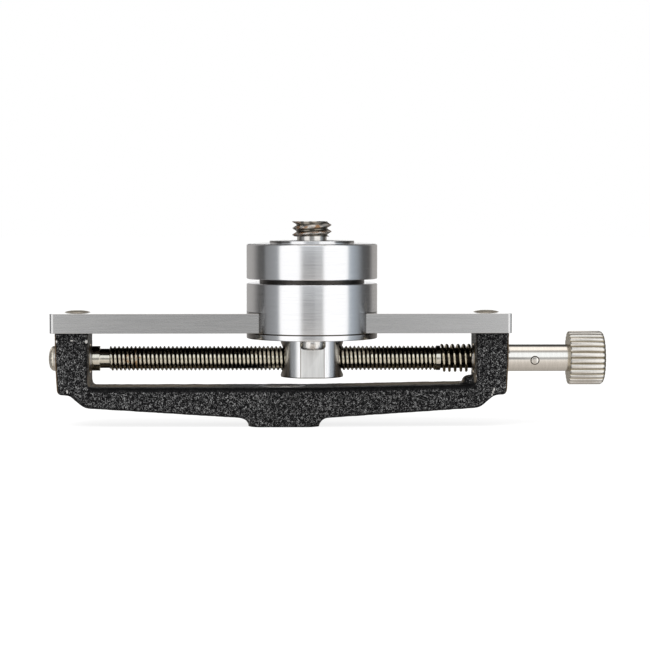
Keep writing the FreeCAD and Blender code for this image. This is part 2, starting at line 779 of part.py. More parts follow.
def knob_pin():
    """The cross pin through sleeve and tail, a little proud of the sleeve at both ends."""
    pin = rod("knob_pin", "pin_diameter / 2", "pin_length", Y_AXIS)
    turned = Rotation(X_AXIS, mm("pin_angle"))
    front = turned.multVec(Vector(0, -mm("pin_length") / 2, 0))
    middle = Vector(mm("pin_x"), 0, mm("screw_height"))
    pin.Placement = Placement(middle + front, turned * pin.Placement.Rotation)
    return pin


def knob():
    """The knob: a turned blank with a hub, and flutes all round."""
    edge, face, end = "knob_diameter / 2", "sleeve_end + knob_hub_height", "sleeve_end + knob_length"
    corners = [
        ("sleeve_end", "spigot_diameter / 2"),
        ("sleeve_end", "knob_hub_diameter / 2"),
        (face, "knob_hub_diameter / 2"),
        (face, f"{edge} - knob_break"),
        (f"{face} + knob_break", edge),
        (f"{end} - knob_round", edge),
        (end, f"{edge} - knob_round"),
        (end, "0"),
        ("sleeve_end + spigot_length", "0"),
        ("sleeve_end + spigot_length", "spigot_diameter / 2"),
    ]
    body = lathe("knob", corners, "H_Axis", z="screw_height")
    outside = mirrored(f"{edge} + flute_depth")
    flute = [
        (mirrored(f"{edge} - flute_depth"), "0"),
        (outside, "flute_width"),
        (outside, mirrored("flute_width")),
    ]
    sketch = outline(body, "YZ_Plane", "flute", flute, lift=face)
    cut = extrude(body, "Pocket", sketch, backward=True)
    flutes = body.newObject("PartDesign::PolarPattern", "flutes")
    flutes.Originals = [cut]
    flutes.Axis = (sketch, ["N_Axis"])
    flutes.Angle = 360
    flutes.setExpression("Occurrences", full("flute_count"))
    body.Tip = flutes
    return body


def end_screw():
    """The domed, slotted screw outside the left post, which holds the leadscrew in."""
    dome = head(DOMED_HEAD, "end_screw_head", "end_screw_height", "0 - end_screw_face", "-")
    corners = [(run, radius) for radius, run in reversed(dome)]
    corners += [
        ("0 - end_screw_face", "end_screw_thread / 2"),
        ("end_screw_length - journal_end", "end_screw_thread / 2"),
        ("end_screw_length - journal_end", "0"),
    ]
    body = lathe("end_screw", corners, "H_Axis", z="screw_height")
    top = "0 - end_screw_face - end_screw_height"
    slot = rectangle(body, "YZ_Plane", "end_screw_slot", "end_screw_head", "driver_slot_width", top)
    extrude(body, "Pocket", slot, "driver_slot_depth", backward=True)
    return body


def biarc(start, start_way, end, end_way):
    """Two arcs that leave start along start_way and reach end along end_way."""
    chord, ways = end - start, start_way + end_way
    square = ways.dot(ways) - 4
    reach = (chord.dot(ways) - math.sqrt(chord.dot(ways) ** 2 - square * chord.dot(chord))) / square
    first, second = start + start_way * reach, end - end_way * reach
    joint = (first + second) / 2
    arcs = []
    for corner, one, other in ((first, start, joint), (second, joint, end)):
        middle = (one + other) / 2
        half_chord = (other - one).Length / 2
        bulge = (corner - middle) * (half_chord / (reach + half_chord))
        arcs.append(Part.Arc(one, middle + bulge, other).toShape())
    return arcs


def backlash_spring():
    """The compression spring round the shaft: one wire, its end turns closer than the middle ones."""
    wire, turns = mm("spring_wire"), mm("spring_turns")
    radius = (mm("spring_diameter") - wire) / 2
    room = mm("spring_space") - wire - 2 * mm("end_gap")
    first = mm("spring_start") + wire / 2 + mm("end_gap")
    pitch, ease, top = room / turns, mm("spring_ease"), math.radians(mm("spring_phase"))

    def spot(turn_count):
        """Place and direction of the wire after so many turns."""
        angle = 2 * math.pi * turn_count + top
        swing = 2 * math.pi * turn_count / turns
        run = first + pitch * turn_count - ease * turns / (2 * math.pi) * math.sin(swing)
        place = Vector(run, radius * math.cos(angle), radius * math.sin(angle))
        rate = (pitch - ease * math.cos(swing)) / (2 * math.pi)
        way = Vector(rate, -radius * math.sin(angle), radius * math.cos(angle))
        return place, way / way.Length

    steps = round(4 * turns)
    spots = [spot(turns * step / steps) for step in range(steps + 1)]
    arcs = [arc for one, other in zip(spots, spots[1:]) for arc in biarc(*one, *other)]
    path = Part.Wire(arcs)
    section = Part.Wire(Part.Circle(spots[0][0], spots[0][1], wire / 2).toShape())
    shell = Part.BRepOffsetAPI.MakePipeShell(path)
    shell.add(section)
    shell.build()
    shell.makeSolid()
    samples = [point for arc in arcs for point in arc.discretize(ARC_SAMPLES)[:-1]]
    away = round(len(samples) / turns / 2)
    gaps = [(one - other).Length for n, one in enumerate(samples) for other in samples[n + away :]]
    print(f"spring: least gap to itself {min(gaps) - wire:.2f} mm")
    print(f"spring: tightest bend {min(arc.Curve.Radius for arc in arcs):.2f} mm")
    return formed("backlash_spring", shell.shape(), z=mm("screw_height"))


def all_pieces():
    """Every piece, each under the name of its file."""
    shaft_hole = "shaft_diameter / 2 + running_gap"
    pivot_hole = "stud_shank_diameter / 2 + running_gap"
    return [
        cast_frame(),
        tripod_bush(),
        guide_bar(),
        bar_screws(),
        bush("left_bush", "left_journal", mirrored("half_length"), mirrored("post_in")),
        bush("right_bush", "shaft_diameter", "post_in", "half_length"),
        carriage_body(),
        carriage_plate(),
        plate_screws(),
        nut_post(),
        nut_post_screws(),
        ring(
            "friction_ring",
            pivot_hole,
            "ring_diameter / 2",
            "deck_top",
            "platform_bottom",
            x="carriage_place",
        ),
        platform_disc(),
        camera_stud(),
        stud_key(),
        ring(
            "wave_washer",
            "pivot_thread_diameter / 2",
            "pivot_washer_diameter / 2",
            "shank_bottom - pivot_washer_thick",
            "shank_bottom",
            x="carriage_place",
        ),
        pivot_nut(),
        leadscrew(),
        washer("thrust_washer", "left_journal / 2", mirrored("post_in"), mirrored("thrust_face")),
        backlash_spring(),
        washer("spring_washer", shaft_hole, "post_in - spring_washer_thick", "post_in"),
        knob_sleeve(),
        knob_pin(),
        knob(),
        washer("end_washer", "end_screw_thread / 2", mirrored("end_screw_face"), mirrored("journal_end")),
        end_screw(),
    ]


pieces = all_pieces()
doc.recompute()
for thing in doc.Objects:
    if {"Invalid", "Error"} & set(thing.State):
        raise ValueError(f"{thing.Label} failed: {thing.State}")
for piece in pieces:
    if piece.Shape.isNull() or not piece.Shape.isValid():
        raise ValueError(f"{piece.Label} has no sound shape")
os.makedirs("parts", exist_ok=True)
for piece in pieces:
    piece.Shape.exportStep(f"parts/{piece.Label}.step")
print(f"{len(pieces)} pieces written")
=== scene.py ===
"""The macro focusing rail's looks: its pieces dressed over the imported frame, on a pale table."""

import json
import math

import bpy
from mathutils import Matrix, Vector


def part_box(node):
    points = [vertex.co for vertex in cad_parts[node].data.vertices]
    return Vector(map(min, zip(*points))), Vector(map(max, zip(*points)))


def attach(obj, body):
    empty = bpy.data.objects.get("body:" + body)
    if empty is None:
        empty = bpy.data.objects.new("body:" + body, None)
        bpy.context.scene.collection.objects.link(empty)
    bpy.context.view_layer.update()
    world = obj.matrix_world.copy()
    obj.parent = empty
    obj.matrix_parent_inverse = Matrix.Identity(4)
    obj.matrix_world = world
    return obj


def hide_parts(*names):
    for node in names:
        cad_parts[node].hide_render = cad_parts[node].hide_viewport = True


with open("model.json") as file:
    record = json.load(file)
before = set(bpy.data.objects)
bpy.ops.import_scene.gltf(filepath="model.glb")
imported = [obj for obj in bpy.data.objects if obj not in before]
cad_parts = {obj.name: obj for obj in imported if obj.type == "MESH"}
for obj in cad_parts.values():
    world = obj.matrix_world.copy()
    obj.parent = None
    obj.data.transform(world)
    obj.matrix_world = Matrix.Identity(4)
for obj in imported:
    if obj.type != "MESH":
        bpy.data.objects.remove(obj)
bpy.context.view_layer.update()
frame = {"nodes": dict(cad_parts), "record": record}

bl_info = {
    "name": "Macro focusing rail",
    "version": (1, 0, 0),
    "blender": (4, 5, 0),
    "location": "3D View > Sidebar > Rail",
    "description": "Dresses a macro focusing rail: casting, bar, discs, leadscrew, spring and knob",
    "category": "Object",
}

MM = 0.001


def node_box(name):
    """Lowest corner, highest corner and middle of a node at rest."""
    low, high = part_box(name)
    return low, high, (low + high) / 2


SCREW_LINE = node_box("leadscrew")[2].z
TURN_LINE = node_box("platform_disc")[2].x
SCREW_AXIS = Vector((0, 0, SCREW_LINE))
TURN_AXIS = Vector((TURN_LINE, 0, 0))
# the nut post's radius, how far from its middle its two flats lie, and where they end
POST_RADIUS = 7.6 * MM
POST_FLAT = 7.05 * MM
POST_EDGE = math.sqrt(POST_RADIUS ** 2 - POST_FLAT ** 2)

# how far the knob's cross pin leans from level
PIN_TILT = math.radians(8)

# brown dirt, and on the nut post also the colour of painted shade
DIRT_AND_SHADE = (0.10, 0.075, 0.05)
# the colour of the painted shade on the turned discs and the keeper plate
PAINTED_SHADE = (0.06, 0.045, 0.03)
RUSTY_EDGE = (0.34, 0.21, 0.09)
BARE_METAL = (0.78, 0.76, 0.73)


class RailSizes(bpy.types.PropertyGroup):
    """Sizes of the rail's looks that the frame doesn't give."""

    disc_edge: bpy.props.FloatProperty(
        name="Disc edge", description="Rounding of the upper disc's top edge",
        default=0.5 * MM, min=0.0, unit="LENGTH", precision=5,
    )
    edge_break: bpy.props.FloatProperty(
        name="Edge break", description="Small rounding on the other turned edges",
        default=0.15 * MM, min=0.0, unit="LENGTH", precision=5,
    )
    screw_pitch: bpy.props.FloatProperty(
        name="Leadscrew pitch", description="Distance from one leadscrew thread to the next",
        default=1.0 * MM, min=0.1 * MM, unit="LENGTH", precision=5,
    )
    stud_pitch: bpy.props.FloatProperty(
        name="Stud pitch", description="Distance from one camera stud thread to the next",
        default=1.5875 * MM, min=0.1 * MM, unit="LENGTH", precision=5,
    )
    stud_depth: bpy.props.FloatProperty(
        name="Stud thread depth", description="Depth of the camera stud's thread as a share of its pitch",
        default=0.61, min=0.1, max=0.9,
    )
    screw_depth: bpy.props.FloatProperty(
        name="Leadscrew thread depth", description="Depth of the leadscrew's thread as a share of its pitch",
        default=0.48, min=0.1, max=0.9,
    )
    flutes: bpy.props.IntProperty(
        name="Knob flutes", description="How many flutes run round the knob", default=27, min=6, max=90,
    )
    flute_depth: bpy.props.FloatProperty(
        name="Flute depth", description="How deep the knob's grooves are cut",
        default=0.42 * MM, min=0.0, unit="LENGTH", precision=5,
    )
    grain: bpy.props.FloatProperty(
        name="Casting grain", description="Height of the uneven skin of the casting",
        default=0.10 * MM, min=0.0, unit="LENGTH", precision=5,
    )


class RailColours(bpy.types.PropertyGroup):
    """Colours of the rail's finishes."""

    paint: bpy.props.FloatVectorProperty(
        name="Paint", description="The casting's crinkle paint", default=(0.004, 0.004, 0.0045),
        size=3, min=0.0, max=1.0, subtype="COLOR",
    )
    dust: bpy.props.FloatVectorProperty(
        name="Dust", description="Brown dust on the casting's upper faces", default=(0.30, 0.25, 0.19),
        size=3, min=0.0, max=1.0, subtype="COLOR",
    )
    aluminium: bpy.props.FloatVectorProperty(
        name="Aluminium", description="The turned discs and the post", default=(0.80, 0.80, 0.81),
        size=3, min=0.0, max=1.0, subtype="COLOR",
    )
    bar: bpy.props.FloatVectorProperty(
        name="Bar", description="The brushed guide bar", default=(0.67, 0.665, 0.66),
        size=3, min=0.0, max=1.0, subtype="COLOR",
    )
    steel: bpy.props.FloatVectorProperty(
        name="Steel", description="Screws, washers and the camera stud", default=(0.70, 0.68, 0.65),
        size=3, min=0.0, max=1.0, subtype="COLOR",
    )
    oiled: bpy.props.FloatVectorProperty(
        name="Oiled steel", description="The leadscrew", default=(0.80, 0.76, 0.66),
        size=3, min=0.0, max=1.0, subtype="COLOR",
    )
    # also the colour of the painted shade on what faces up and down on the leadscrew
    residue_and_shade: bpy.props.FloatVectorProperty(
        name="Residue", description="Old oil in the threads", default=(0.012, 0.010, 0.008),
        size=3, min=0.0, max=1.0, subtype="COLOR",
    )
    rust: bpy.props.FloatVectorProperty(
        name="Rust", description="Rust on the crests of the threads", default=(0.44, 0.21, 0.05),
        size=3, min=0.0, max=1.0, subtype="COLOR",
    )
    plate: bpy.props.FloatVectorProperty(
        name="Plate", description="The knob's and the sleeve's warm plating", default=(0.82, 0.79, 0.74),
        size=3, min=0.0, max=1.0, subtype="COLOR",
    )


class Wires:
    """Short names for wiring up one node tree."""

    def __init__(self, tree):
        self.tree = tree

    def put(self, socket, value):
        """Link an output to the socket, or set the socket's own value."""
        if isinstance(value, bpy.types.NodeSocket):
            self.tree.links.new(value, socket)
        else:
            socket.default_value = value

    def add(self, kind, inputs=None, **settings):
        """A node with its settings, and inputs by name or number."""
        made = self.tree.nodes.new(kind)
        for name, value in settings.items():
            setattr(made, name, value)
        for key, value in (inputs or {}).items():
            self.put(made.inputs[key], value)
        return made

    def math(self, operation, *values):
        """A Math node's result."""
        return self.add("ShaderNodeMath", dict(enumerate(values)), operation=operation).outputs[0]

    def plus(self, one, other):
        """The sum of two numbers."""
        return self.math("ADD", one, other)

    def minus(self, one, other):
        """One number less the other."""
        return self.math("SUBTRACT", one, other)

    def times(self, one, other):
        """One number times the other."""
        return self.math("MULTIPLY", one, other)

    def larger(self, one, other):
        """The larger of two numbers."""
        return self.math("MAXIMUM", one, other)

    def absolute(self, value):
        """A number without its sign."""
        return self.math("ABSOLUTE", value)

    def vector_math(self, operation, *values, result=0):
        """A Vector Math node's result."""
        return self.add("ShaderNodeVectorMath", dict(enumerate(values)), operation=operation).outputs[result]

    def step(self, value, low, high):
        """0 below low, 1 above high, and a smooth rise between."""
        inputs = {"Value": value, "From Min": low, "From Max": high}
        made = self.add("ShaderNodeMapRange", inputs, interpolation_type="SMOOTHSTEP")
        return made.outputs["Result"]

    def noise(self, vector, scale, detail=2.0, roughness=0.5, distortion=0.0):
        """A Noise Texture's value."""
        inputs = {"Vector": vector, "Scale": scale, "Detail": detail, "Roughness": roughness}
        inputs["Distortion"] = distortion
        return self.add("ShaderNodeTexNoise", inputs).outputs["Fac"]

    def mix(self, share, one, other):
        """A colour between one and other."""
        made = self.add("ShaderNodeMix", data_type="RGBA")
        self.put(made.inputs["Factor"], share)
        self.put(made.inputs[6], one)
        self.put(made.inputs[7], other)
        return made.outputs[2]

    def blend(self, share, one, other):
        """A number between one and other."""
        made = self.add("ShaderNodeMix", data_type="FLOAT")
        for index, value in enumerate((share, one, other)):
            self.put(made.inputs[("Factor", 2, 3)[index]], value)
        return made.outputs[0]

    def place(self, shift=(0, 0, 0)):
        """The piece's own place, in metres, shifted."""
        source = self.add("ShaderNodeTexCoord").outputs["Object"]
        inputs = {"Vector": source, "Location": shift}
        return self.add("ShaderNodeMapping", inputs, vector_type="POINT").outputs["Vector"]

    def apart(self, vector):
        """The vector's x, y and z."""
        made = self.add("ShaderNodeSeparateXYZ", {"Vector": vector})
        return made.outputs["X"], made.outputs["Y"], made.outputs["Z"]

    def together(self, x, y, z):
        """A vector of three numbers."""
        return self.add("ShaderNodeCombineXYZ", {"X": x, "Y": y, "Z": z}).outputs["Vector"]

    def bump(self, height, strength, distance):
        """A Bump node's normal."""
        inputs = {"Height": height, "Strength": strength, "Distance": distance}
        return self.add("ShaderNodeBump", inputs).outputs["Normal"]


def rgba(colour, factor=1.0):
    """A colour with its alpha, made darker or lighter by the factor."""
    return tuple(channel * factor for channel in colour) + (1.0,)


def effect(name, inputs, outputs, wire):
    """A shader node group with named sockets, built once; wire(wires, given) returns its outputs in order."""
    if name in bpy.data.node_groups:
        return bpy.data.node_groups[name]
    group = bpy.data.node_groups.new(name, "ShaderNodeTree")
    for label, kind, default in inputs:
        socket = group.interface.new_socket(label, in_out="INPUT", socket_type=f"NodeSocket{kind}")
        socket.default_value = default
    for label, kind in outputs:
        group.interface.new_socket(label, in_out="OUTPUT", socket_type=f"NodeSocket{kind}")
    given = group.nodes.new("NodeGroupInput").outputs
    end = group.nodes.new("NodeGroupOutput")
    for index, value in enumerate(wire(Wires(group), given)):
        group.links.new(value, end.inputs[index])
    return group


def use(wires, group, **inputs):
    """The outputs of a node group placed in a material with its own values."""
    made = wires.add("ShaderNodeGroup", node_tree=group)
    for name, value in inputs.items():
        wires.put(made.inputs[name], value)
    return made.outputs


def fine_lines():
    """Tool lines: height and mask of scratches that are long in the vector's first direction."""

    def wire(wires, given):
        coarse = wires.noise(given["Vector"], given["Scale"], 3.0, 0.65)
        closer = wires.vector_math("MULTIPLY", given["Vector"], (1.7, 3.1, 3.1))
        close = wires.noise(closer, given["Scale"], 2.0, 0.6)
        height = wires.plus(wires.times(coarse, 0.6), wires.times(close, 0.4))
        return height, wires.step(height, 0.42, 0.62)

    inputs = [("Vector", "Vector", (0, 0, 0)), ("Scale", "Float", 1.0)]
    return effect("fine_lines", inputs, [("Height", "Float"), ("Mask", "Float")], wire)


def grime():
    """Patches of dirt: a mask that is mostly clear, with soft-edged spots and stains."""

    def wire(wires, given):
        patches = wires.noise(given["Vector"], given["Scale"], 4.0, 0.62, 0.3)
        edge = wires.minus(0.78, wires.times(given["Amount"], 0.5))
        return (wires.step(patches, edge, wires.plus(edge, 0.14)),)

    inputs = [("Vector", "Vector", (0, 0, 0)), ("Scale", "Float", 200.0), ("Amount", "Float", 0.3)]
    return effect("grime", inputs, [("Mask", "Float")], wire)


def round_place():
    """A lathe's coordinates: the way its tool lines run, and the distance from the third direction."""

    def wire(wires, given):
        x, y, z = wires.apart(given["Vector"])
        radius = wires.math("SQRT", wires.plus(wires.times(x, x), wires.times(y, y)))
        swing = wires.times(wires.math("ARCTAN2", y, x), given["Along"])
        return wires.together(swing, radius, z), radius

    inputs = [("Vector", "Vector", (0, 0, 0)), ("Along", "Float", 0.5 * MM)]
    return effect("round_place", inputs, [("Lines", "Vector"), ("Radius", "Float")], wire)


def crinkle():
    """Crinkle paint: the height and the lit ridges of short worm-like wrinkles."""

    def wire(wires, given):
        scale = given["Scale"]
        warp = wires.add("ShaderNodeTexNoise", {"Vector": given["Vector"], "Scale": scale, "Detail": 1.0})
        bent = wires.vector_math("MULTIPLY_ADD", warp.outputs["Color"], (0.25 * MM,) * 3, given["Vector"])
        waves = wires.noise(bent, wires.times(scale, 1.25), 1.5, 0.5)
        ridge = wires.absolute(wires.minus(waves, 0.5))
        worms = wires.minus(1.0, wires.step(ridge, 0.0, 0.085))
        grains = wires.noise(bent, wires.times(scale, 2.6), 2.0, 0.6)
        gate = wires.step(wires.noise(given["Vector"], wires.times(scale, 0.7), 2.0), 0.34, 0.56)
        height = wires.plus(wires.times(worms, 0.75), wires.times(grains, 0.5))
        tops = wires.times(wires.step(height, 0.68, 0.98), gate)
        return height, tops

    inputs = [("Vector", "Vector", (0, 0, 0)), ("Scale", "Float", 1800.0)]
    return effect("crinkle", inputs, [("Height", "Float"), ("Tops", "Float")], wire)


def chip():
    """One chip in the paint: a ragged spot about a centre, with its own width and height."""

    def wire(wires, given):
        away = wires.vector_math("SUBTRACT", given["Vector"], given["Centre"])
        shares = wires.vector_math("DIVIDE", away, given["Size"])
        reach = wires.vector_math("LENGTH", shares, result="Value")
        ragged = wires.plus(reach, wires.times(wires.noise(given["Vector"], 2600.0, 2.0), 0.9))
        return (wires.minus(1.0, wires.step(ragged, 1.3, 1.5)),)

    inputs = [("Vector", "Vector", (0, 0, 0)), ("Centre", "Vector", (0, 0, 0)), ("Size", "Vector", (1, 1, 1))]
    return effect("chip", inputs, [("Mask", "Float")], wire)


def new_material(name):
    """A material with its wires and an empty Principled shader."""
    material = bpy.data.materials.new(name)
    material.use_nodes = True
    shader = material.node_tree.nodes["Principled BSDF"]
    return material, Wires(material.node_tree), shader


def metal_sockets(wires, shader, colour, roughness, normal, anisotropic=0.0):
    """The sockets that every bare metal sets; anisotropic ones spread light across rings about Z."""
    shader.inputs["Metallic"].default_value = 1.0
    wires.put(shader.inputs["Base Color"], colour)
    wires.put(shader.inputs["Roughness"], roughness)
    wires.put(shader.inputs["Normal"], normal)
    if anisotropic:
        shader.inputs["Anisotropic"].default_value = anisotropic
        shader.inputs["Anisotropic Rotation"].default_value = 0.25
        tangent = wires.add("ShaderNodeTangent", direction_type="RADIAL", axis="Z")
        wires.put(shader.inputs["Tangent"], tangent.outputs["Tangent"])


# bare spots in the paint of the front face, as centre and half size in mm: chips and one long scratch
CHIPS = (
    ((-54.0, -7.0, 20.7), (0.25, 0.8, 0.32)),
    ((-50.35, -7.0, 20.9), (0.38, 0.6, 0.17)),
    ((-46.8, -7.0, 20.6), (0.4, 0.8, 0.45)),
    ((-46.45, -6.9, 19.6), (0.13, 0.5, 0.8)),
    ((46.4, -7.0, 12.2), (0.35, 0.7, 0.35)),
    ((-51.5, -7.0, 8.7), (0.15, 0.6, 0.5)),
)
SCRATCH = (
    ((50.85, -7.0, 9.1), (0.15, 0.5, 0.45)),
    ((50.6, -7.0, 8.4), (0.13, 0.5, 0.45)),
    ((50.4, -7.0, 7.7), (0.13, 0.5, 0.45)),
)


def plain_faces(wires):
    """1 on faces that lie square to the rail, and 0 on rounded edges."""
    across, along, up = wires.apart(wires.add("ShaderNodeNewGeometry").outputs["Normal"])
    sideways = wires.larger(wires.absolute(along), wires.absolute(across))
    return wires.step(wires.larger(sideways, wires.absolute(up)), 0.78, 0.97)


def beam_edge_shade(wires, x, z):
    """Painted shade: the dark rounding along the top of the beam's front, which rises a little towards the
    knob.
    """
    rise_start, slope = 8 * MM, 0.0182
    swell = wires.times(wires.larger(wires.minus(x, rise_start), 0.0), slope)
    level = wires.minus(z, swell)
    rounding = wires.times(wires.step(level, 8.3 * MM, 8.6 * MM), wires.step(level, 9.8 * MM, 9.6 * MM))
    return wires.times(rounding, wires.step(wires.absolute(x), 46.8 * MM, 46.2 * MM))


def dust_places(wires, place, broad):
    """Where dust lies: on the back half of what faces up, and on the posts' inner faces."""
    across, along, up = wires.apart(wires.add("ShaderNodeNewGeometry").outputs["Normal"])
    x, y, z = wires.apart(place)
    patches = use(wires, grime(), Vector=place, Scale=320.0, Amount=0.95)["Mask"]
    upward = wires.step(up, 0.55, 0.95)
    off_bush = wires.step(wires.absolute(wires.minus(x, -0.5 * MM)), 9 * MM, 20 * MM)
    ragged = wires.plus(y, wires.times(broad, 2.5 * MM))
    back = wires.step(ragged, -3.8 * MM, 1.2 * MM)
    inward = wires.step(wires.absolute(across), 0.6, 0.95)
    inward = wires.times(inward, wires.step(wires.absolute(x), 47.4 * MM, 47.0 * MM))
    inward = wires.times(inward, wires.blend(wires.step(z, 11.5 * MM, 14.0 * MM), 0.55, 0.12))
    top = wires.times(wires.times(upward, off_bush), wires.blend(patches, 0.35, 0.95))
    return wires.larger(wires.times(top, back), inward)


def worn_ends(wires, x):
    """Where the posts' outer faces are worn brown."""
    across = wires.apart(wires.add("ShaderNodeNewGeometry").outputs["Normal"])[0]
    outside = wires.step(wires.absolute(x), 50 * MM, 51 * MM)
    return wires.times(wires.step(wires.absolute(across), 0.5, 0.9), outside)


def bare_spots(wires, place):
    """Where the paint is off: the chips and the scratch."""
    bare = 0.0
    for centre, size in CHIPS + SCRATCH:
        spot = use(wires, chip(), Vector=place, Centre=Vector(centre) * MM, Size=Vector(size) * MM)
        bare = wires.larger(bare, spot["Mask"])
    return bare


def crinkle_paint(colour, dust_colour):
    """Black crinkle paint: wrinkles with painted grey glints, painted shade on the rounding along the top of
    the beam's front, dust on what faces up, chips to the bare metal.
    """
    material, wires, shader = new_material("crinkle_paint")
    place = wires.place()
    x, y, z = wires.apart(place)
    skin = use(wires, crinkle(), Vector=place, Scale=1650.0)
    broad = wires.noise(place, 260.0, 3.0, 0.6)
    plain = plain_faces(wires)
    # painted highlight: grey glints on the wrinkle tops, weaker on rounded edges and in broad patches
    painted_glint = wires.times(skin["Tops"], wires.blend(plain, 0.25, 1.0))
    painted_glint = wires.times(painted_glint, wires.blend(broad, 0.4, 1.3))
    # painted shade: the glints fade on the rounding along the top of the beam's front
    painted_glint = wires.times(painted_glint, wires.minus(1.0, wires.times(beam_edge_shade(wires, x, z), 0.9)))
    body = wires.mix(painted_glint, rgba(colour), rgba((0.40, 0.40, 0.40)))
    dusty = dust_places(wires, place, broad)
    body = wires.mix(dusty, body, rgba(dust_colour))
    body = wires.mix(wires.times(worn_ends(wires, x), 0.4), body, rgba(RUSTY_EDGE))
    bare = bare_spots(wires, place)
    wires.put(shader.inputs["Base Color"], wires.mix(bare, body, rgba(BARE_METAL)))
    rough = wires.blend(skin["Tops"], 0.42, 0.34)
    wires.put(shader.inputs["Roughness"], wires.blend(dusty, rough, 0.7))
    shader.inputs["Specular IOR Level"].default_value = 0.07
    height = wires.times(skin["Height"], wires.blend(plain, 0.35, 1.0))
    height = wires.minus(height, wires.times(bare, 0.6))
    wires.put(shader.inputs["Normal"], wires.bump(height, 0.8, 0.16 * MM))
    return material


def lathe_place(wires, centre, axis):
    """The piece's place about the centre, with its lathe axis as the third direction."""
    shifted = wires.place(shift=-centre)
    if axis == "Z":
        return shifted
    x, y, z = wires.apart(shifted)
    return wires.together(y, z, x)


def turned_metal(name, colour, dirt_and_shade):
    """Turned metal: rings of tool lines, and painted shade in regions of (lowest, highest, from, to,
    strength).
    """
    roughness = 0.21
    material, wires, shader = new_material(name)
    place = lathe_place(wires, TURN_AXIS, "Z")
    rings = use(wires, round_place(), Vector=place, Along=0.4 * MM)
    lines = use(wires, fine_lines(), Vector=rings["Lines"], Scale=3600.0)
    stain = use(wires, grime(), Vector=place, Scale=160.0, Amount=0.3)["Mask"]
    tone = wires.mix(lines["Mask"], rgba(colour, 0.96), rgba(colour, 1.02))
    tone = wires.mix(wires.times(stain, 0.08), tone, rgba(colour, 0.6))
    x, y, z = wires.apart(place)
    # painted shade: each region is darkened, standing in for dark reflections on the turned metal and for
    # shade where parts meet
    for lowest, highest, start, end, strength in dirt_and_shade:
        region = wires.times(wires.step(wires.absolute(x), start, end), strength)
        region = wires.times(region, wires.step(z, lowest - 0.08 * MM, lowest))
        region = wires.times(region, wires.step(z, highest + 0.08 * MM, highest))
        tone = wires.mix(region, tone, rgba(PAINTED_SHADE))
    rough = wires.blend(lines["Mask"], roughness - 0.02, roughness + 0.03)
    metal_sockets(wires, shader, tone, rough, wires.bump(lines["Height"], 0.03, 0.02 * MM), 0.85)
    return material


def milled_post(colour, bottom):
    """The nut post: turned where it is round, and milled upright with dark edges on its two flats; painted
    shade darkens its sides by the leadscrew's mouths and its foot.
    """
    material, wires, shader = new_material("milled_post")
    place = lathe_place(wires, TURN_AXIS, "Z")
    x, y, z = wires.apart(place)
    normal = wires.apart(wires.add("ShaderNodeNewGeometry").outputs["True Normal"])
    flat = wires.step(wires.absolute(normal[1]), 0.995, 0.999)
    streaks = wires.vector_math("MULTIPLY", place, (1.0, 1.0, 0.03))
    lines = use(wires, fine_lines(), Vector=streaks, Scale=2600.0)
    stain = use(wires, grime(), Vector=place, Scale=300.0, Amount=0.3)["Mask"]
    tone = wires.mix(lines["Mask"], rgba(colour, 0.93), rgba(colour, 1.03))
    milled = wires.mix(lines["Mask"], rgba((0.76, 0.76, 0.75)), rgba((0.84, 0.84, 0.83)))
    tone = wires.mix(flat, tone, milled)
    off_edge = wires.minus(wires.absolute(x), POST_EDGE)
    rim = wires.minus(1.0, wires.step(wires.absolute(off_edge), 0.06 * MM, 0.14 * MM))
    # painted shade: the sides by the mouths, where the leadscrew's shadow falls, and a line along the foot,
    # where the post stands on the disc
    side = wires.times(wires.step(wires.absolute(x), 5.3 * MM, 6.8 * MM), 0.9)
    foot = wires.times(wires.step(z, bottom + 0.35 * MM, bottom + 0.15 * MM), 0.7)
    grime_and_shade = wires.larger(wires.times(stain, 0.25), wires.times(rim, 0.75))
    grime_and_shade = wires.larger(grime_and_shade, wires.larger(side, foot))
    tone = wires.mix(grime_and_shade, tone, rgba(DIRT_AND_SHADE))
    rough = wires.blend(flat, 0.2, 0.46)
    metal_sockets(wires, shader, tone, rough, wires.bump(lines["Height"], 0.1, 0.02 * MM))
    return material


def brushed_bar(colour):
    """Brushed metal: straight lines along the bar, the top face painted lighter as a painted highlight, and
    the underside painted near black as painted shade.
    """
    material, wires, shader = new_material("brushed_bar")
    place = wires.place()
    streaks = wires.vector_math("MULTIPLY", place, (0.012, 1.0, 1.0))
    lines = use(wires, fine_lines(), Vector=streaks, Scale=5200.0)
    stain = use(wires, grime(), Vector=place, Scale=110.0, Amount=0.35)["Mask"]
    rise = wires.apart(wires.add("ShaderNodeNewGeometry").outputs["True Normal"])[2]
    upward = wires.step(rise, 0.8, 0.95)
    # painted highlight: the top face is painted lighter, and made glossier
    tone = wires.mix(upward, rgba(colour), rgba((0.86, 0.86, 0.87)))
    tone = wires.mix(wires.times(lines["Mask"], 0.3), tone, rgba(colour, 0.85))
    tone = wires.mix(wires.times(stain, 0.08), tone, rgba(colour, 0.6))
    # painted shade: the underside is painted near black, so that the leadscrew below reflects it dark
    tone = wires.mix(wires.step(rise, -0.8, -0.95), tone, rgba((0.03, 0.027, 0.024)))
    rough = wires.blend(upward, wires.blend(lines["Mask"], 0.24, 0.30), 0.08)
    metal_sockets(wires, shader, tone, rough, wires.bump(lines["Height"], 0.08, 0.02 * MM))
    return material


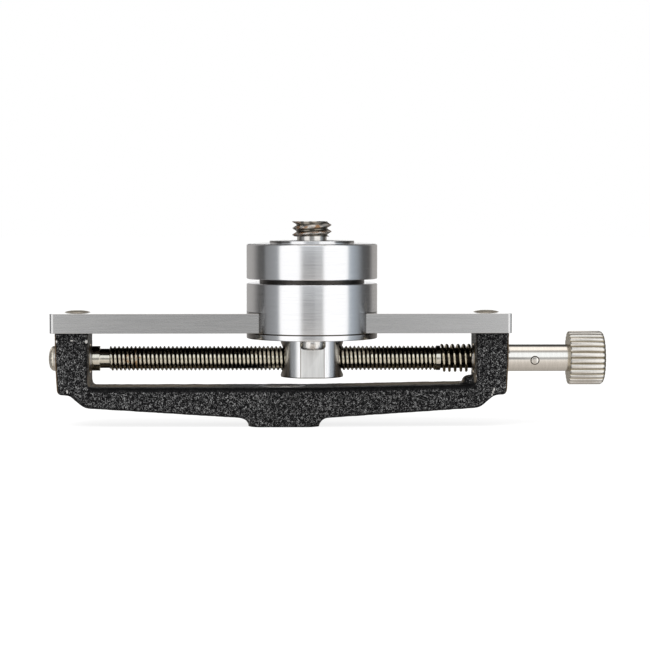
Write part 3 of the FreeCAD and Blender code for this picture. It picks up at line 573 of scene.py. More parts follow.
def plain_metal(name, colour, roughness=0.3, dirt_and_shade=0.3, shade=DIRT_AND_SHADE):
    """Bare or plated metal with fine lines and a little brown dirt."""
    material, wires, shader = new_material(name)
    place = wires.place()
    lines = use(wires, fine_lines(), Vector=place, Scale=2600.0)
    stain = use(wires, grime(), Vector=place, Scale=520.0, Amount=dirt_and_shade)["Mask"]
    tone = wires.mix(lines["Mask"], rgba(colour, 0.88), rgba(colour, 1.06))
    tone = wires.mix(wires.times(stain, 0.5), tone, rgba(shade))
    rough = wires.blend(stain, roughness, roughness + 0.25)
    metal_sockets(wires, shader, tone, rough, wires.bump(lines["Height"], 0.25, 0.03 * MM))
    return material


def threaded_steel(
    name, colour, residue_and_shade, rust, centre, axis, worn_from, threads, rusted, roughness=0.14, painted_shade_up_down=0.0,
):
    """Thread-cut steel: worn bright outside, with dark residue in the roots, rusty in a stretch, and painted
    shade on what faces up and down.
    """
    material, wires, shader = new_material(name)
    place = lathe_place(wires, centre, axis)
    rings = use(wires, round_place(), Vector=place, Along=0.4 * MM)
    lines = use(wires, fine_lines(), Vector=rings["Lines"], Scale=4200.0)
    along = wires.apart(place)[2]
    after_start = wires.step(along, threads[0], threads[0] + 0.2 * MM)
    inside = wires.times(after_start, wires.step(along, threads[1], threads[1] - 0.2 * MM))
    root = wires.minus(1.0, wires.step(rings["Radius"], worn_from - 0.15 * MM, worn_from + 0.05 * MM))
    tone = wires.mix(lines["Mask"], rgba(colour, 0.9), rgba(colour, 1.05))
    tone = wires.mix(wires.times(root, inside), tone, rgba(residue_and_shade))
    spots = use(wires, grime(), Vector=place, Scale=520.0, Amount=0.6)["Mask"]
    spots = wires.times(spots, wires.step(rings["Radius"], worn_from, worn_from + 0.15 * MM))
    spots = wires.times(spots, wires.step(along, rusted[0], rusted[0] + MM))
    spots = wires.times(spots, wires.step(along, rusted[1], rusted[1] - MM))
    tone = wires.mix(wires.times(spots, 0.8), tone, rgba(rust))
    # painted shade: what faces up or down is darkened, where the bar above and the beam below shade the
    # leadscrew
    rise = wires.absolute(wires.apart(wires.add("ShaderNodeNewGeometry").outputs["Normal"])[2])
    tone = wires.mix(wires.times(wires.step(rise, 0.5, 0.85), painted_shade_up_down), tone, rgba(residue_and_shade))
    rough = wires.blend(spots, roughness, roughness + 0.3)
    metal_sockets(wires, shader, tone, rough, wires.bump(lines["Height"], 0.12, 0.02 * MM))
    return material


def plated(name, colour, roughness, groove_low=0.0, groove_high=0.1 * MM, pin=None):
    """Warm plating, brown where it lies nearer to its axis than the grooves, and a ring of painted shade
    round the hole of a cross pin.
    """
    material, wires, shader = new_material(name)
    place = lathe_place(wires, SCREW_AXIS, "X")
    rings = use(wires, round_place(), Vector=place, Along=0.4 * MM)
    lines = use(wires, fine_lines(), Vector=rings["Lines"], Scale=2400.0)
    stain = use(wires, grime(), Vector=place, Scale=430.0, Amount=0.35)["Mask"]
    tone = wires.mix(lines["Mask"], rgba(colour, 0.94), rgba(colour, 1.02))
    tone = wires.mix(wires.times(stain, 0.15), tone, rgba(colour, 0.55))
    clean = wires.step(rings["Radius"], groove_low, groove_high)
    tone = wires.mix(clean, rgba((0.34, 0.29, 0.20)), tone)
    if pin:
        y, z, x = wires.apart(place)
        rise = wires.minus(wires.times(z, math.cos(PIN_TILT)), wires.times(y, math.sin(PIN_TILT)))
        from_pin = wires.together(wires.minus(x, pin), rise, 0.0)
        off_pin = wires.vector_math("LENGTH", from_pin, result="Value")
        # painted shade: a dark ring round the pin's hole, where the gap lies in shade
        tone = wires.mix(wires.step(off_pin, 1.16 * MM, 1.04 * MM), tone, rgba((0.05, 0.035, 0.02)))
    rough = wires.blend(clean, 0.4, roughness)
    metal_sockets(wires, shader, tone, rough, wires.bump(lines["Height"], 0.08, 0.02 * MM))
    return material


def painted_ring(colour, paint):
    """Bright steel near the screw hole, and the casting's paint over the ring round it, with painted grey
    glints on its wrinkles.
    """
    material, wires, shader = new_material("painted_ring")
    place = wires.place()
    radius = use(wires, round_place(), Vector=place)["Radius"]
    lines = use(wires, fine_lines(), Vector=place, Scale=2600.0)
    bare = wires.minus(1.0, wires.step(radius, 4.15 * MM, 4.35 * MM))
    bare = wires.larger(bare, wires.step(wires.apart(place)[2], 1.0 * MM, 0.5 * MM))
    skin = use(wires, crinkle(), Vector=place, Scale=1800.0)
    # painted highlight: grey glints on the paint's wrinkle tops
    coat = wires.mix(skin["Tops"], rgba(paint), rgba((0.16, 0.16, 0.16)))
    steel = wires.mix(lines["Mask"], rgba(colour, 0.9), rgba(colour, 1.1))
    tone, rough = wires.mix(bare, coat, steel), wires.blend(bare, 0.36, 0.2)
    metal_sockets(wires, shader, tone, rough, wires.bump(skin["Height"], 0.3, 0.1 * MM))
    wires.put(shader.inputs["Metallic"], bare)
    return material


def select_none():
    """Leave nothing selected, in object mode."""
    if bpy.context.mode != "OBJECT":
        bpy.ops.object.mode_set(mode="OBJECT")
    bpy.ops.object.select_all(action="DESELECT")


def pick(piece):
    """Make the piece the only one selected, and the active one."""
    select_none()
    piece.select_set(True)
    bpy.context.view_layer.objects.active = piece


def finished(piece, name, smooth=35.0):
    """Apply the piece's place, name it, and smooth it up to an angle."""
    pick(piece)
    bpy.ops.object.transform_apply(location=True, rotation=True, scale=True)
    bpy.ops.object.shade_smooth_by_angle(angle=math.radians(smooth))
    piece.name = name
    piece.data.name = name
    return piece


def dress(piece, body, slot, material, *nodes):
    """Give a piece its material and its body, and hide the nodes that it stands for."""
    piece.data.materials.clear()
    piece.data.materials.append(material)
    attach(piece, body)
    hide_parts(*nodes)


def apply_all(piece):
    """Apply the piece's modifiers, first to last."""
    pick(piece)
    for modifier in list(piece.modifiers):
        bpy.ops.object.modifier_apply(modifier=modifier.name)


def rounded(corners, steps=4):
    """An outline's points, with each corner (across, up, radius) turned into an arc."""
    points = []
    for index, (across, up, radius) in enumerate(corners):
        here = Vector((across, up))
        if not radius or index in (0, len(corners) - 1):
            points.append(here)
            continue
        back = Vector(corners[index - 1][:2]) - here
        on = Vector(corners[index + 1][:2]) - here
        half = back.angle(on) / 2
        reach = min(radius / math.tan(half), 0.49 * back.length, 0.49 * on.length)
        first, last = here + back.normalized() * reach, here + on.normalized() * reach
        for step in range(steps + 1):
            share = step / steps
            points.append(first.lerp(here, share).lerp(here.lerp(last, share), share))
    return points


def trace(points):
    """A line of edges through the points, drawn from a single vertex."""
    select_none()
    bpy.ops.mesh.primitive_plane_add(size=MM)
    piece = bpy.context.object
    bpy.ops.object.mode_set(mode="EDIT")
    bpy.ops.mesh.select_all(action="SELECT")
    bpy.ops.mesh.merge(type="CENTER")
    bpy.ops.transform.translate(value=points[0])
    for start, end in zip(points, points[1:]):
        bpy.ops.mesh.extrude_vertices_move(TRANSFORM_OT_translate={"value": end - start})
    bpy.ops.object.mode_set(mode="OBJECT")
    return piece


def turned(name, corners, centre, axis="Z", steps=144):
    """A lathe's work: corners are (radius, height, rounding) about Z, or (run, radius, rounding) about X."""
    points = [centre + Vector((across, 0, up)) for across, up in rounded(corners)]
    piece = trace(points)
    line = Vector((0, 0, 1)) if axis == "Z" else Vector((1, 0, 0))
    bpy.ops.object.mode_set(mode="EDIT")
    bpy.ops.mesh.select_all(action="SELECT")
    bpy.ops.mesh.spin(steps=steps, angle=2 * math.pi, center=centre, axis=line)
    bpy.ops.mesh.select_all(action="SELECT")
    bpy.ops.mesh.remove_doubles(threshold=MM / 500)
    bpy.ops.mesh.normals_make_consistent(inside=False)
    bpy.ops.object.mode_set(mode="OBJECT")
    return finished(piece, name)


def thread(name, root, crest, pitch, start, end, phase=0.0, land=0.03, steps=48):
    """A right-hand outside thread about Z, closed flat at both ends; land is half its crest's share."""
    low = math.floor((start - phase * pitch) / pitch - 1) * pitch + phase * pitch
    turns = math.ceil((end - low) / pitch) + 1
    flat, ease, top = 0.07 * pitch, 0.035 * pitch, land * pitch
    corners = (
        (root, 0.0, 0),
        (root, flat, 0),
        (crest - ease, pitch / 2 - top - ease, 0),
        (crest, pitch / 2 - top, 0),
        (crest, pitch / 2 + top, 0),
        (crest - ease, pitch / 2 + top + ease, 0),
        (root, pitch - flat, 0),
        (root, pitch, 0),
    )
    piece = trace([Vector((across, 0, low + up)) for across, up in rounded(corners)])
    pick(piece)
    screw = piece.modifiers.new("winding", "SCREW")
    screw.screw_offset = pitch
    screw.iterations = turns
    screw.steps = screw.render_steps = steps
    screw.use_normal_calculate = True
    bpy.ops.object.modifier_apply(modifier="winding")
    bpy.ops.object.mode_set(mode="EDIT")
    bpy.ops.mesh.select_all(action="SELECT")
    bpy.ops.mesh.remove_doubles(threshold=MM / 2000)
    for height, clear in ((start, {"clear_inner": True}), (end, {"clear_outer": True})):
        bpy.ops.mesh.select_all(action="SELECT")
        bpy.ops.mesh.bisect(
            plane_co=(0, 0, height), plane_no=(0, 0, 1), use_fill=False, threshold=MM / 10000, **clear,
        )
    bpy.ops.mesh.select_all(action="SELECT")
    bpy.ops.mesh.fill_holes(sides=0)
    bpy.ops.mesh.select_all(action="SELECT")
    bpy.ops.mesh.normals_make_consistent(inside=False)
    bpy.ops.object.mode_set(mode="OBJECT")
    return finished(piece, name, 40.0)


def joined(name, pieces):
    """Several closed meshes as one piece."""
    pick(pieces[0])
    for piece in pieces[1:]:
        piece.select_set(True)
    bpy.ops.object.join()
    return finished(pieces[0], name, 40.0)


def cut(piece, *tools):
    """Cut the tools out of the piece, and throw the tools away."""
    for tool in tools:
        pick(piece)
        change = piece.modifiers.new("cut", "BOOLEAN")
        change.operation = "DIFFERENCE"
        change.solver = "EXACT"
        change.object = tool
        bpy.ops.object.modifier_apply(modifier="cut")
        pick(tool)
        bpy.ops.object.delete()
    return piece


def block(low, high):
    """A box-shaped cutting tool between two corners."""
    select_none()
    bpy.ops.mesh.primitive_cube_add(size=1.0, location=(low + high) / 2, scale=high - low)
    tool = bpy.context.object
    bpy.ops.object.transform_apply(location=True, rotation=True, scale=True)
    return tool


def drill(centre, radius, start, end, axis="X"):
    """A round cutting tool along the axis, from start to end."""
    if axis == "X":
        corners = ((start, 0.0, 0), (start, radius, 0), (end, radius, 0), (end, 0.0, 0))
    else:
        corners = ((0.0, start, 0), (radius, start, 0), (radius, end, 0), (0.0, end, 0))
    return turned("drill", corners, centre, axis, steps=72)


def worked_copy(node, name, width=0.0, smooth=35.0):
    """A copy of a CAD node's mesh, merged into clean faces, with its edges broken."""
    select_none()
    source = frame["nodes"][node]
    piece = source.copy()
    piece.data = source.data.copy()
    piece.parent = None
    for key in [key for key in piece.keys() if key.startswith("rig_")]:
        del piece[key]
    bpy.context.scene.collection.objects.link(piece)
    pick(piece)
    bpy.ops.object.mode_set(mode="EDIT")
    bpy.ops.mesh.select_all(action="SELECT")
    bpy.ops.mesh.remove_doubles(threshold=MM / 500)
    bpy.ops.mesh.dissolve_limited(angle_limit=math.radians(0.5))
    bpy.ops.object.mode_set(mode="OBJECT")
    if width:
        bevel = piece.modifiers.new("edge_break", "BEVEL")
        bevel.width = width
        bevel.segments = 2
        bevel.limit_method = "ANGLE"
        bevel.angle_limit = math.radians(40)
        bpy.ops.object.modifier_apply(modifier="edge_break")
    return finished(piece, name, smooth)


class RAIL_OT_stage(bpy.types.Operator):
    """Add the table, the soft light and the camera"""

    bl_idname = "rail.stage"
    bl_label = "Stage"

    def execute(self, context):
        scene = context.scene
        scene.view_settings.view_transform = "Standard"
        self.add_table()
        self.add_world(scene)
        self.add_lamp()
        self.add_camera(scene)
        return {"FINISHED"}

    def add_table(self):
        """A pale table that keeps the rail's faint shadow and lets the studio show in the metal."""
        select_none()
        bpy.ops.mesh.primitive_plane_add(size=6.0, location=(0, 0, 0))
        table = bpy.context.object
        table.name = "table"
        material, wires, shader = new_material("table_white")
        shader.inputs["Base Color"].default_value = (0.96, 0.955, 0.95, 1)
        shader.inputs["Roughness"].default_value = 0.8
        shader.inputs["Specular IOR Level"].default_value = 0.0
        glow = wires.add("ShaderNodeEmission", {"Color": (1.0, 1.0, 1.0, 1), "Strength": 1.16})
        rays = wires.add("ShaderNodeLightPath").outputs
        share = wires.times(rays["Is Camera Ray"], 0.72)
        lit = wires.add("ShaderNodeMixShader", {0: share, 1: shader.outputs[0], 2: glow.outputs[0]})
        clear = wires.add("ShaderNodeBsdfTransparent")
        sides = {0: rays["Is Glossy Ray"], 1: lit.outputs[0], 2: clear.outputs[0]}
        seen = wires.add("ShaderNodeMixShader", sides)
        wires.put(material.node_tree.nodes["Material Output"].inputs["Surface"], seen.outputs[0])
        table.data.materials.append(material)

    def add_world(self, scene):
        """White to the camera; to metal, a studio: cards round the rail, a soft box and a pale table."""
        world = bpy.data.worlds.new("studio")
        scene.world = world
        world.use_nodes = True
        wires = Wires(world.node_tree)
        x, y, z = wires.apart(wires.add("ShaderNodeTexCoord").outputs["Generated"])
        turn = wires.math("ARCTAN2", x, wires.times(y, -1.0))
        round_about = wires.plus(wires.math("DIVIDE", turn, math.tau), 0.5)
        # degrees round from the camera, brightness, and warmth of what stands there
        cards = (
            (-180, 1.10, 0.00), (-172, 1.10, 0.00), (-168, 0.42, 0.03), (-135, 0.42, 0.03),
            (-125, 0.36, 0.03), (-113, 0.19, 0.02), (-107, 0.12, 0.02), (-94, 0.11, 0.00),
            (-89, 0.26, -0.02), (-68, 0.37, -0.03), (-62, 0.48, -0.03), (-58, 1.30, 0.00),
            (-24, 1.30, 0.00), (-15, 0.34, -0.01), (3, 0.30, -0.01), (6, 0.46, -0.01),
            (17, 0.50, -0.01), (21, 1.30, 0.00), (64, 1.30, 0.00), (68, 0.62, -0.08),
            (77, 0.46, -0.09), (86, 0.35, -0.08), (96, 0.18, -0.04), (102, 0.11, -0.02),
            (118, 0.10, 0.03), (127, 0.22, 0.03), (134, 0.38, 0.04), (168, 0.42, 0.04),
            (172, 1.10, 0.00),
        )
        sides = self.strip(wires, round_about, [(degrees / 360 + 0.5, *look) for degrees, *look in cards])
        # the direction's height, brightness and warmth, before the rail and behind it
        before = (
            (-1.00, 0.47, 0.07), (-0.60, 0.62, 0.06), (-0.22, 0.84, 0.03), (0.14, 0.95, -0.01),
            (0.20, 1.05, -0.04), (0.70, 1.05, -0.04), (0.80, 0.46, 0.01), (0.90, 0.38, 0.03),
            (0.93, 0.60, 0.05), (0.96, 1.08, 0.05), (1.00, 1.08, 0.05),
        )
        behind = (
            (-1.00, 0.42, 0.07), (-0.30, 0.25, 0.07), (-0.06, 1.15, 0.00), (0.14, 1.15, 0.00),
            (0.20, 0.06, 0.02), (0.84, 0.06, 0.02), (0.92, 0.35, 0.03), (0.97, 1.08, 0.05),
            (1.00, 1.08, 0.05),
        )
        height = wires.plus(wires.math("DIVIDE", z, 2.0), 0.5)
        front, back = (
            self.strip(wires, height, [(level / 2 + 0.5, *look) for level, *look in column])
            for column in (before, behind)
        )
        middle = wires.mix(wires.step(y, -0.02, 0.02), front, back)
        band = wires.minus(1.0, wires.step(wires.absolute(x), 0.30, 0.36))
        off_level = wires.absolute(wires.plus(z, 0.03))
        level = wires.minus(1.0, wires.step(off_level, 0.10, 0.24))
        band = wires.times(band, wires.minus(1.0, level))
        studio = wires.mix(band, sides, middle)
        rays = wires.add("ShaderNodeLightPath").outputs
        seen = wires.mix(rays["Is Glossy Ray"], (1.0, 1.0, 1.0, 1), studio)
        plain = wires.larger(rays["Is Camera Ray"], rays["Is Transmission Ray"])
        lit = wires.larger(plain, rays["Is Glossy Ray"])
        background = world.node_tree.nodes["Background"]
        wires.put(background.inputs["Color"], seen)
        wires.put(background.inputs["Strength"], wires.blend(lit, 0.65, 1.0))

    def strip(self, wires, share, stops):
        """A strip of grey cards: stops are (place from 0 to 1, brightness, warmth)."""
        ramp = wires.add("ShaderNodeValToRGB", {0: share})
        row = ramp.color_ramp.elements
        while len(row) < len(stops):
            row.new(1.0)
        for element, (place, level, warmth) in zip(row, stops):
            element.position = place
            element.color = (level * (1 + warmth), level, level * (1 - warmth), 1)
        return ramp.outputs["Color"]

    def add_lamp(self):
        """One large soft lamp over the table, a little to the front and left."""
        bpy.ops.object.light_add(type="AREA", location=(-0.25, -0.35, 0.75))
        lamp = bpy.context.object
        lamp.name = "soft_box"
        lamp.data.shape = "SQUARE"
        lamp.data.size = 0.7
        lamp.data.energy = 5.0
        lamp.visible_glossy = False
        lamp.rotation_euler = (Vector((0, 0, 0.02)) - lamp.location).to_track_quat("-Z", "Y").to_euler()

    def add_camera(self, scene):
        """The photograph's camera: a long lens a little above the rail, turned slightly to its knob."""
        place = Vector((-1.73, -550.0, 53.79)) * MM
        tilt, turn = math.radians(3.077), math.radians(1.261)
        bpy.ops.object.camera_add(location=place, rotation=(math.radians(90) - tilt, 0, -turn))
        camera = bpy.context.object
        camera.data.lens = 125.8
        camera.data.sensor_width = 36.0
        camera.data.clip_start = 0.01
        scene.camera = camera


class RAIL_OT_casting(bpy.types.Operator):
    """Give the casting its uneven cast skin and black crinkle paint"""

    bl_idname = "rail.casting"
    bl_label = "Casting"

    # where a lump of metal was left in the corner of the right window
    LUMP = Vector((45.2, -3.4, 10.9)) * MM

    def execute(self, context):
        colours, sizes = context.scene.rail_colours, context.scene.rail_sizes
        copy = worked_copy("cast_frame", "casting")
        bpy.ops.mesh.primitive_uv_sphere_add(location=self.LUMP, radius=MM, scale=(2.0, 2.3, 1.5))
        piece = joined("casting", [copy, bpy.context.object])
        skin = piece.modifiers.new("skin", "REMESH")
        skin.mode = "VOXEL"
        skin.voxel_size = 0.34 * MM
        bpy.ops.object.modifier_apply(modifier="skin")
        self.soften(piece)
        self.roughen(piece, sizes.grain)
        finish = crinkle_paint(colours.paint, colours.dust)
        dress(finished(piece, "casting", 60.0), "frame", "crinkle_paint", finish, "cast_frame")
        return {"FINISHED"}

    def soften(self, piece):
        """Round the cast edges, but not those against the bar, the table, the bush and the screw's bores."""
        low, high = node_box("cast_frame")[:2]
        group = piece.vertex_groups.new(name="cast_edges")
        soft = []
        for vertex in piece.data.vertices:
            x, y, z = vertex.co
            clear = math.hypot(x, y) > 6.6 * MM and math.hypot(y, z - SCREW_LINE) > 4.2 * MM
            if clear and low.z + 0.5 * MM < z < high.z - 0.8 * MM:
                soft.append(vertex.index)
        group.add(soft, 1.0, "REPLACE")
        smooth = piece.modifiers.new("soft_edges", "SMOOTH")
        smooth.factor = 0.5
        smooth.iterations = 26
        smooth.vertex_group = "cast_edges"
        apply_all(piece)
        piece.vertex_groups.clear()

    def roughen(self, piece, grain):
        """Lumps and coarse wrinkles, on the faces that aren't machined."""
        low, high = node_box("cast_frame")[:2]
        group = piece.vertex_groups.new(name="cast_faces")
        cast = [v.index for v in piece.data.vertices if low.z + 0.4 * MM < v.co.z < high.z - 0.4 * MM]
        group.add(cast, 1.0, "REPLACE")
        for name, size, height in (("lumps", 2.6 * MM, 1.0), ("wrinkles", 0.7 * MM, 0.8)):
            texture = bpy.data.textures.new(name, "CLOUDS")
            texture.noise_scale = size
            texture.noise_depth = 1
            wave = piece.modifiers.new(name, "DISPLACE")
            wave.texture = texture
            wave.texture_coords = "LOCAL"
            wave.strength = grain * height
            wave.mid_level = 0.55
            wave.vertex_group = "cast_faces"
        apply_all(piece)
        piece.vertex_groups.clear()


class RAIL_OT_bar(bpy.types.Operator):
    """Make the guide bar, with its crisp edges and its two countersunk holes"""

    bl_idname = "rail.bar"
    bl_label = "Guide bar"

    def execute(self, context):
        colours = context.scene.rail_colours
        low, high, middle = node_box("guide_bar")
        corner = 1.0 * MM
        around = (
            (middle.x, low.y, 0), (high.x, low.y, corner), (high.x, high.y, corner), (low.x, high.y, corner),
            (low.x, low.y, corner), (middle.x - MM, low.y, 0),
        )
        piece = trace([Vector((across, along, low.z)) for across, along in rounded(around)])
        pick(piece)
        bpy.ops.object.mode_set(mode="EDIT")
        bpy.ops.mesh.select_all(action="SELECT")
        bpy.ops.mesh.edge_face_add()
        bpy.ops.mesh.extrude_region_move(TRANSFORM_OT_translate={"value": (0, 0, high.z - low.z)})
        bpy.ops.mesh.select_all(action="SELECT")
        bpy.ops.mesh.normals_make_consistent(inside=False)
        bpy.ops.object.mode_set(mode="OBJECT")
        bevel = piece.modifiers.new("edge_break", "BEVEL")
        bevel.width = 0.07 * MM
        bevel.limit_method = "ANGLE"
        bevel.angle_limit = math.radians(40)
        bpy.ops.object.modifier_apply(modifier="edge_break")
        cut(piece, *self.screw_holes(high.z))
        finish = brushed_bar(colours.bar)
        dress(finished(piece, "brushed_guide_bar"), "frame", "brushed_bar", finish, "guide_bar")
        return {"FINISHED"}

    def screw_holes(self, top):
        """Countersunk cutting tools where the two screws sit."""
        high, middle = node_box("bar_screws")[1:]
        head, shank, over = high.y + 0.02 * MM, 2.06 * MM, 0.1 * MM
        cone = head - shank
        corners = (
            (0.0, top - 6 * MM, 0),
            (shank, top - 6 * MM, 0),
            (shank, top - cone, 0),
            (head + over, top + over, 0),
            (0.0, top + over, 0),
        )
        reach = high.x - middle.x - high.y
        return [turned("countersink", corners, Vector((middle.x + side * reach, 0, 0))) for side in (-1, 1)]


class RAIL_OT_discs(bpy.types.Operator):
    """Turn the two discs, the keeper plate and the friction ring"""

    bl_idname = "rail.discs"
    bl_label = "Discs"

    def execute(self, context):
        colours, sizes = context.scene.rail_colours, context.scene.rail_sizes
        base, seat = node_box("carriage_plate")[1].z, node_box("platform_disc")[1].z
        bar_low, bar_high = node_box("guide_bar")[:2]
        # painted shade: the seat's dark sides, the lower disc's sides at the bar, a band along the keeper
        # plate's top edge under the bar, and the plate's dark sides
        on_seat = [(seat - 0.4 * MM, seat, 4.8 * MM, 5.8 * MM, 0.7)]
        at_slot = [(bar_low.z, bar_high.z + 0.2 * MM, 10.6 * MM, 13.0 * MM, 0.8)]
        at_plate = [
            (base - 0.2 * MM, base + MM, -MM, 0.0, 1.0),
            (base - 9 * MM, base, 12.2 * MM, 14.0 * MM, 0.85),
        ]
        for piece, body, node, dirt_and_shade in (
            (self.upper_disc(sizes), "platform", "platform_disc", on_seat),
            (self.lower_disc(sizes), "carriage", "carriage_body", at_slot),
            (self.keeper_plate(sizes), "carriage", "carriage_plate", at_plate),
        ):
            finish = turned_metal(piece.name, colours.aluminium, dirt_and_shade)
            dress(piece, body, "turned_aluminium", finish, node)
        low, high, middle = node_box("friction_ring")
        rim, bore = high.x - middle.x, node_box("pivot_nut")[1].x - middle.x
        corners = ((bore, low.z, 0), (rim, low.z, 0), (rim, high.z, 0), (bore, high.z, 0), (bore, low.z, 0))
        ring = turned("dark_ring", corners, TURN_AXIS)
        dark = plain_metal("dark_ring", (0.07, 0.065, 0.06), 0.32, 0.4)
        dress(ring, "carriage", "dark_ring", dark, "friction_ring")
        return {"FINISHED"}

    def upper_disc(self, sizes):
        """The upper disc, with its raised seat and the relief round the stud."""
        low, high, middle = node_box("platform_disc")
        rim, bore, seat, relief = high.x - middle.x, 4.0 * MM, 10.25 * MM, 5.3 * MM
        deck = high.z - 0.7 * MM
        corners = (
            (bore, low.z, 0),
            (rim, low.z, 0.3 * MM),
            (rim, deck, sizes.disc_edge),
            (seat, deck, 0),
            (seat, high.z, 0.1 * MM),
            (relief, high.z, 0),
            (relief, high.z - 0.3 * MM, 0),
            (bore, high.z - 0.3 * MM, 0),
            (bore, low.z, 0),
        )
        return turned("upper_disc", corners, TURN_AXIS, steps=192)

    def lower_disc(self, sizes):
        """The lower disc, slotted underneath for the bar and bored for the pivot."""
        low, high, middle = node_box("carriage_body")
        bar_low, bar_high = node_box("guide_bar")[:2]
        rim, gap = high.x - middle.x, 0.08 * MM
        corners = (
            (0.0, low.z, 0),
            (rim, low.z, sizes.edge_break),
            (rim, high.z, 0.3 * MM),
            (0.0, high.z, 0),
        )
        piece = turned("lower_disc", corners, TURN_AXIS, steps=192)
        slot_low = Vector((low.x - MM, bar_low.y - gap, low.z - MM))
        slot_high = Vector((high.x + MM, bar_high.y + gap, bar_high.z + gap))
        bore = drill(TURN_AXIS, 4.03 * MM, low.z, high.z + MM, "Z")
        well = drill(TURN_AXIS, 7.5 * MM, low.z, node_box("wave_washer")[1].z + 0.05 * MM, "Z")
        cut(piece, block(slot_low, slot_high), bore, well)
        return finished(piece, "lower_disc")

    def keeper_plate(self, sizes):
        """The round plate under the bar."""
        low, high, middle = node_box("carriage_plate")
        rim = high.x - middle.x
        corners = (
            (0.0, low.z, 0),
            (rim, low.z, 0.25 * MM),
            (rim, high.z, sizes.edge_break),
            (0.0, high.z, 0),
        )
        return turned("keeper_plate", corners, TURN_AXIS, steps=192)


class RAIL_OT_nut_post(bpy.types.Operator):
    """Turn the nut post, and cut its flats and its mouths for the leadscrew"""

    bl_idname = "rail.nut_post"
    bl_label = "Nut post"

    def execute(self, context):
        colours = context.scene.rail_colours
        low, high, middle = node_box("nut_post")
        rim, flat_top = high.x - middle.x, low.z + 7.3 * MM
        bore, mouth, mouth_depth = 3.02 * MM, 3.95 * MM, 2.0 * MM
        corners = ((0.0, low.z, 0), (rim, low.z, 0.2 * MM), (rim, high.z, 0), (0.0, high.z, 0))
        piece = turned("flatted_post", corners, TURN_AXIS)
        wide = rim + MM
        for side in (-1, 1):
            inner, outer = sorted((side * POST_FLAT, side * wide))
            corner = Vector((high.x + MM, outer, flat_top))
            cut(piece, block(Vector((low.x - MM, inner, low.z - MM)), corner))
        cut(piece, self.screw_way(middle.x, wide, rim - mouth_depth, bore, mouth))
        finish = milled_post(colours.aluminium, low.z)
        dress(finished(piece, "flatted_post"), "carriage", "turned_aluminium", finish, "nut_post")
        return {"FINISHED"}

    def screw_way(self, centre, reach, inner, bore, mouth):
        """A cutting tool for the leadscrew's bore, with a wider mouth at each side of the post."""
        corners = (
            (centre - reach, 0.0, 0),
            (centre - reach, mouth, 0),
            (centre - inner, mouth, 0),
            (centre - inner, bore, 0),
            (centre + inner, bore, 0),
            (centre + inner, mouth, 0),
            (centre + reach, mouth, 0),
            (centre + reach, 0.0, 0),
        )
        return turned("screw_way", corners, SCREW_AXIS, "X", steps=72)


class RAIL_OT_camera_stud(bpy.types.Operator):
    """Cut the camera stud with its real thread"""

    bl_idname = "rail.camera_stud"
    bl_label = "Camera stud"

    def execute(self, context):
        colours, sizes = context.scene.rail_colours, context.scene.rail_sizes
        low, high = node_box("camera_stud")[:2]
        seat = node_box("platform_disc")[1].z
        crest = 4.7625 * MM
        root = crest - sizes.stud_depth * sizes.stud_pitch
        start, neck, shank = seat + 1.0 * MM, 3.6 * MM, 4.0 * MM
        well = node_box("wave_washer")[1].z
        winding = thread("stud_thread", root, crest, sizes.stud_pitch, start, high.z, phase=0.04)
        winding.location = TURN_AXIS
        self.break_top(winding, high.z)
        corners = (
            (0.0, low.z, 0),
            (3.0 * MM, low.z, 0.2 * MM),
            (3.0 * MM, well, 0),
            (shank, well, 0),
            (shank, seat - 0.3 * MM, 0),
            (neck, seat - 0.3 * MM, 0),
            (neck, start + 0.3 * MM, 0),
            (0.0, start + 0.3 * MM, 0),
        )
        stem = turned("stud_stem", corners, TURN_AXIS)
        piece = joined("threaded_stud", [winding, stem])
        dull = (0.22, 0.20, 0.17)
        finish = threaded_steel(
            "rusty_steel", colours.steel, dull, colours.rust, TURN_AXIS, "Z", root + 0.4 * MM,
            (start, high.z), (start - MM, high.z + MM), 0.16,
        )
        dress(piece, "platform", "bright_steel", finish, "camera_stud")
        return {"FINISHED"}

    def break_top(self, piece, top):
        """Draw in the rim of the thread's last turn, so that it leads into a socket."""
        pick(piece)
        bpy.ops.object.mode_set(mode="EDIT")
        bpy.ops.mesh.select_mode(type="VERT")
        bpy.ops.mesh.select_all(action="DESELECT")
        bpy.ops.object.mode_set(mode="OBJECT")
        for vertex in piece.data.vertices:
            vertex.select = vertex.co.z > top - 0.02 * MM
        bpy.ops.object.mode_set(mode="EDIT")
        bpy.ops.transform.resize(value=(0.8, 0.8, 1.0), center_override=TURN_AXIS)
        bpy.ops.object.mode_set(mode="OBJECT")


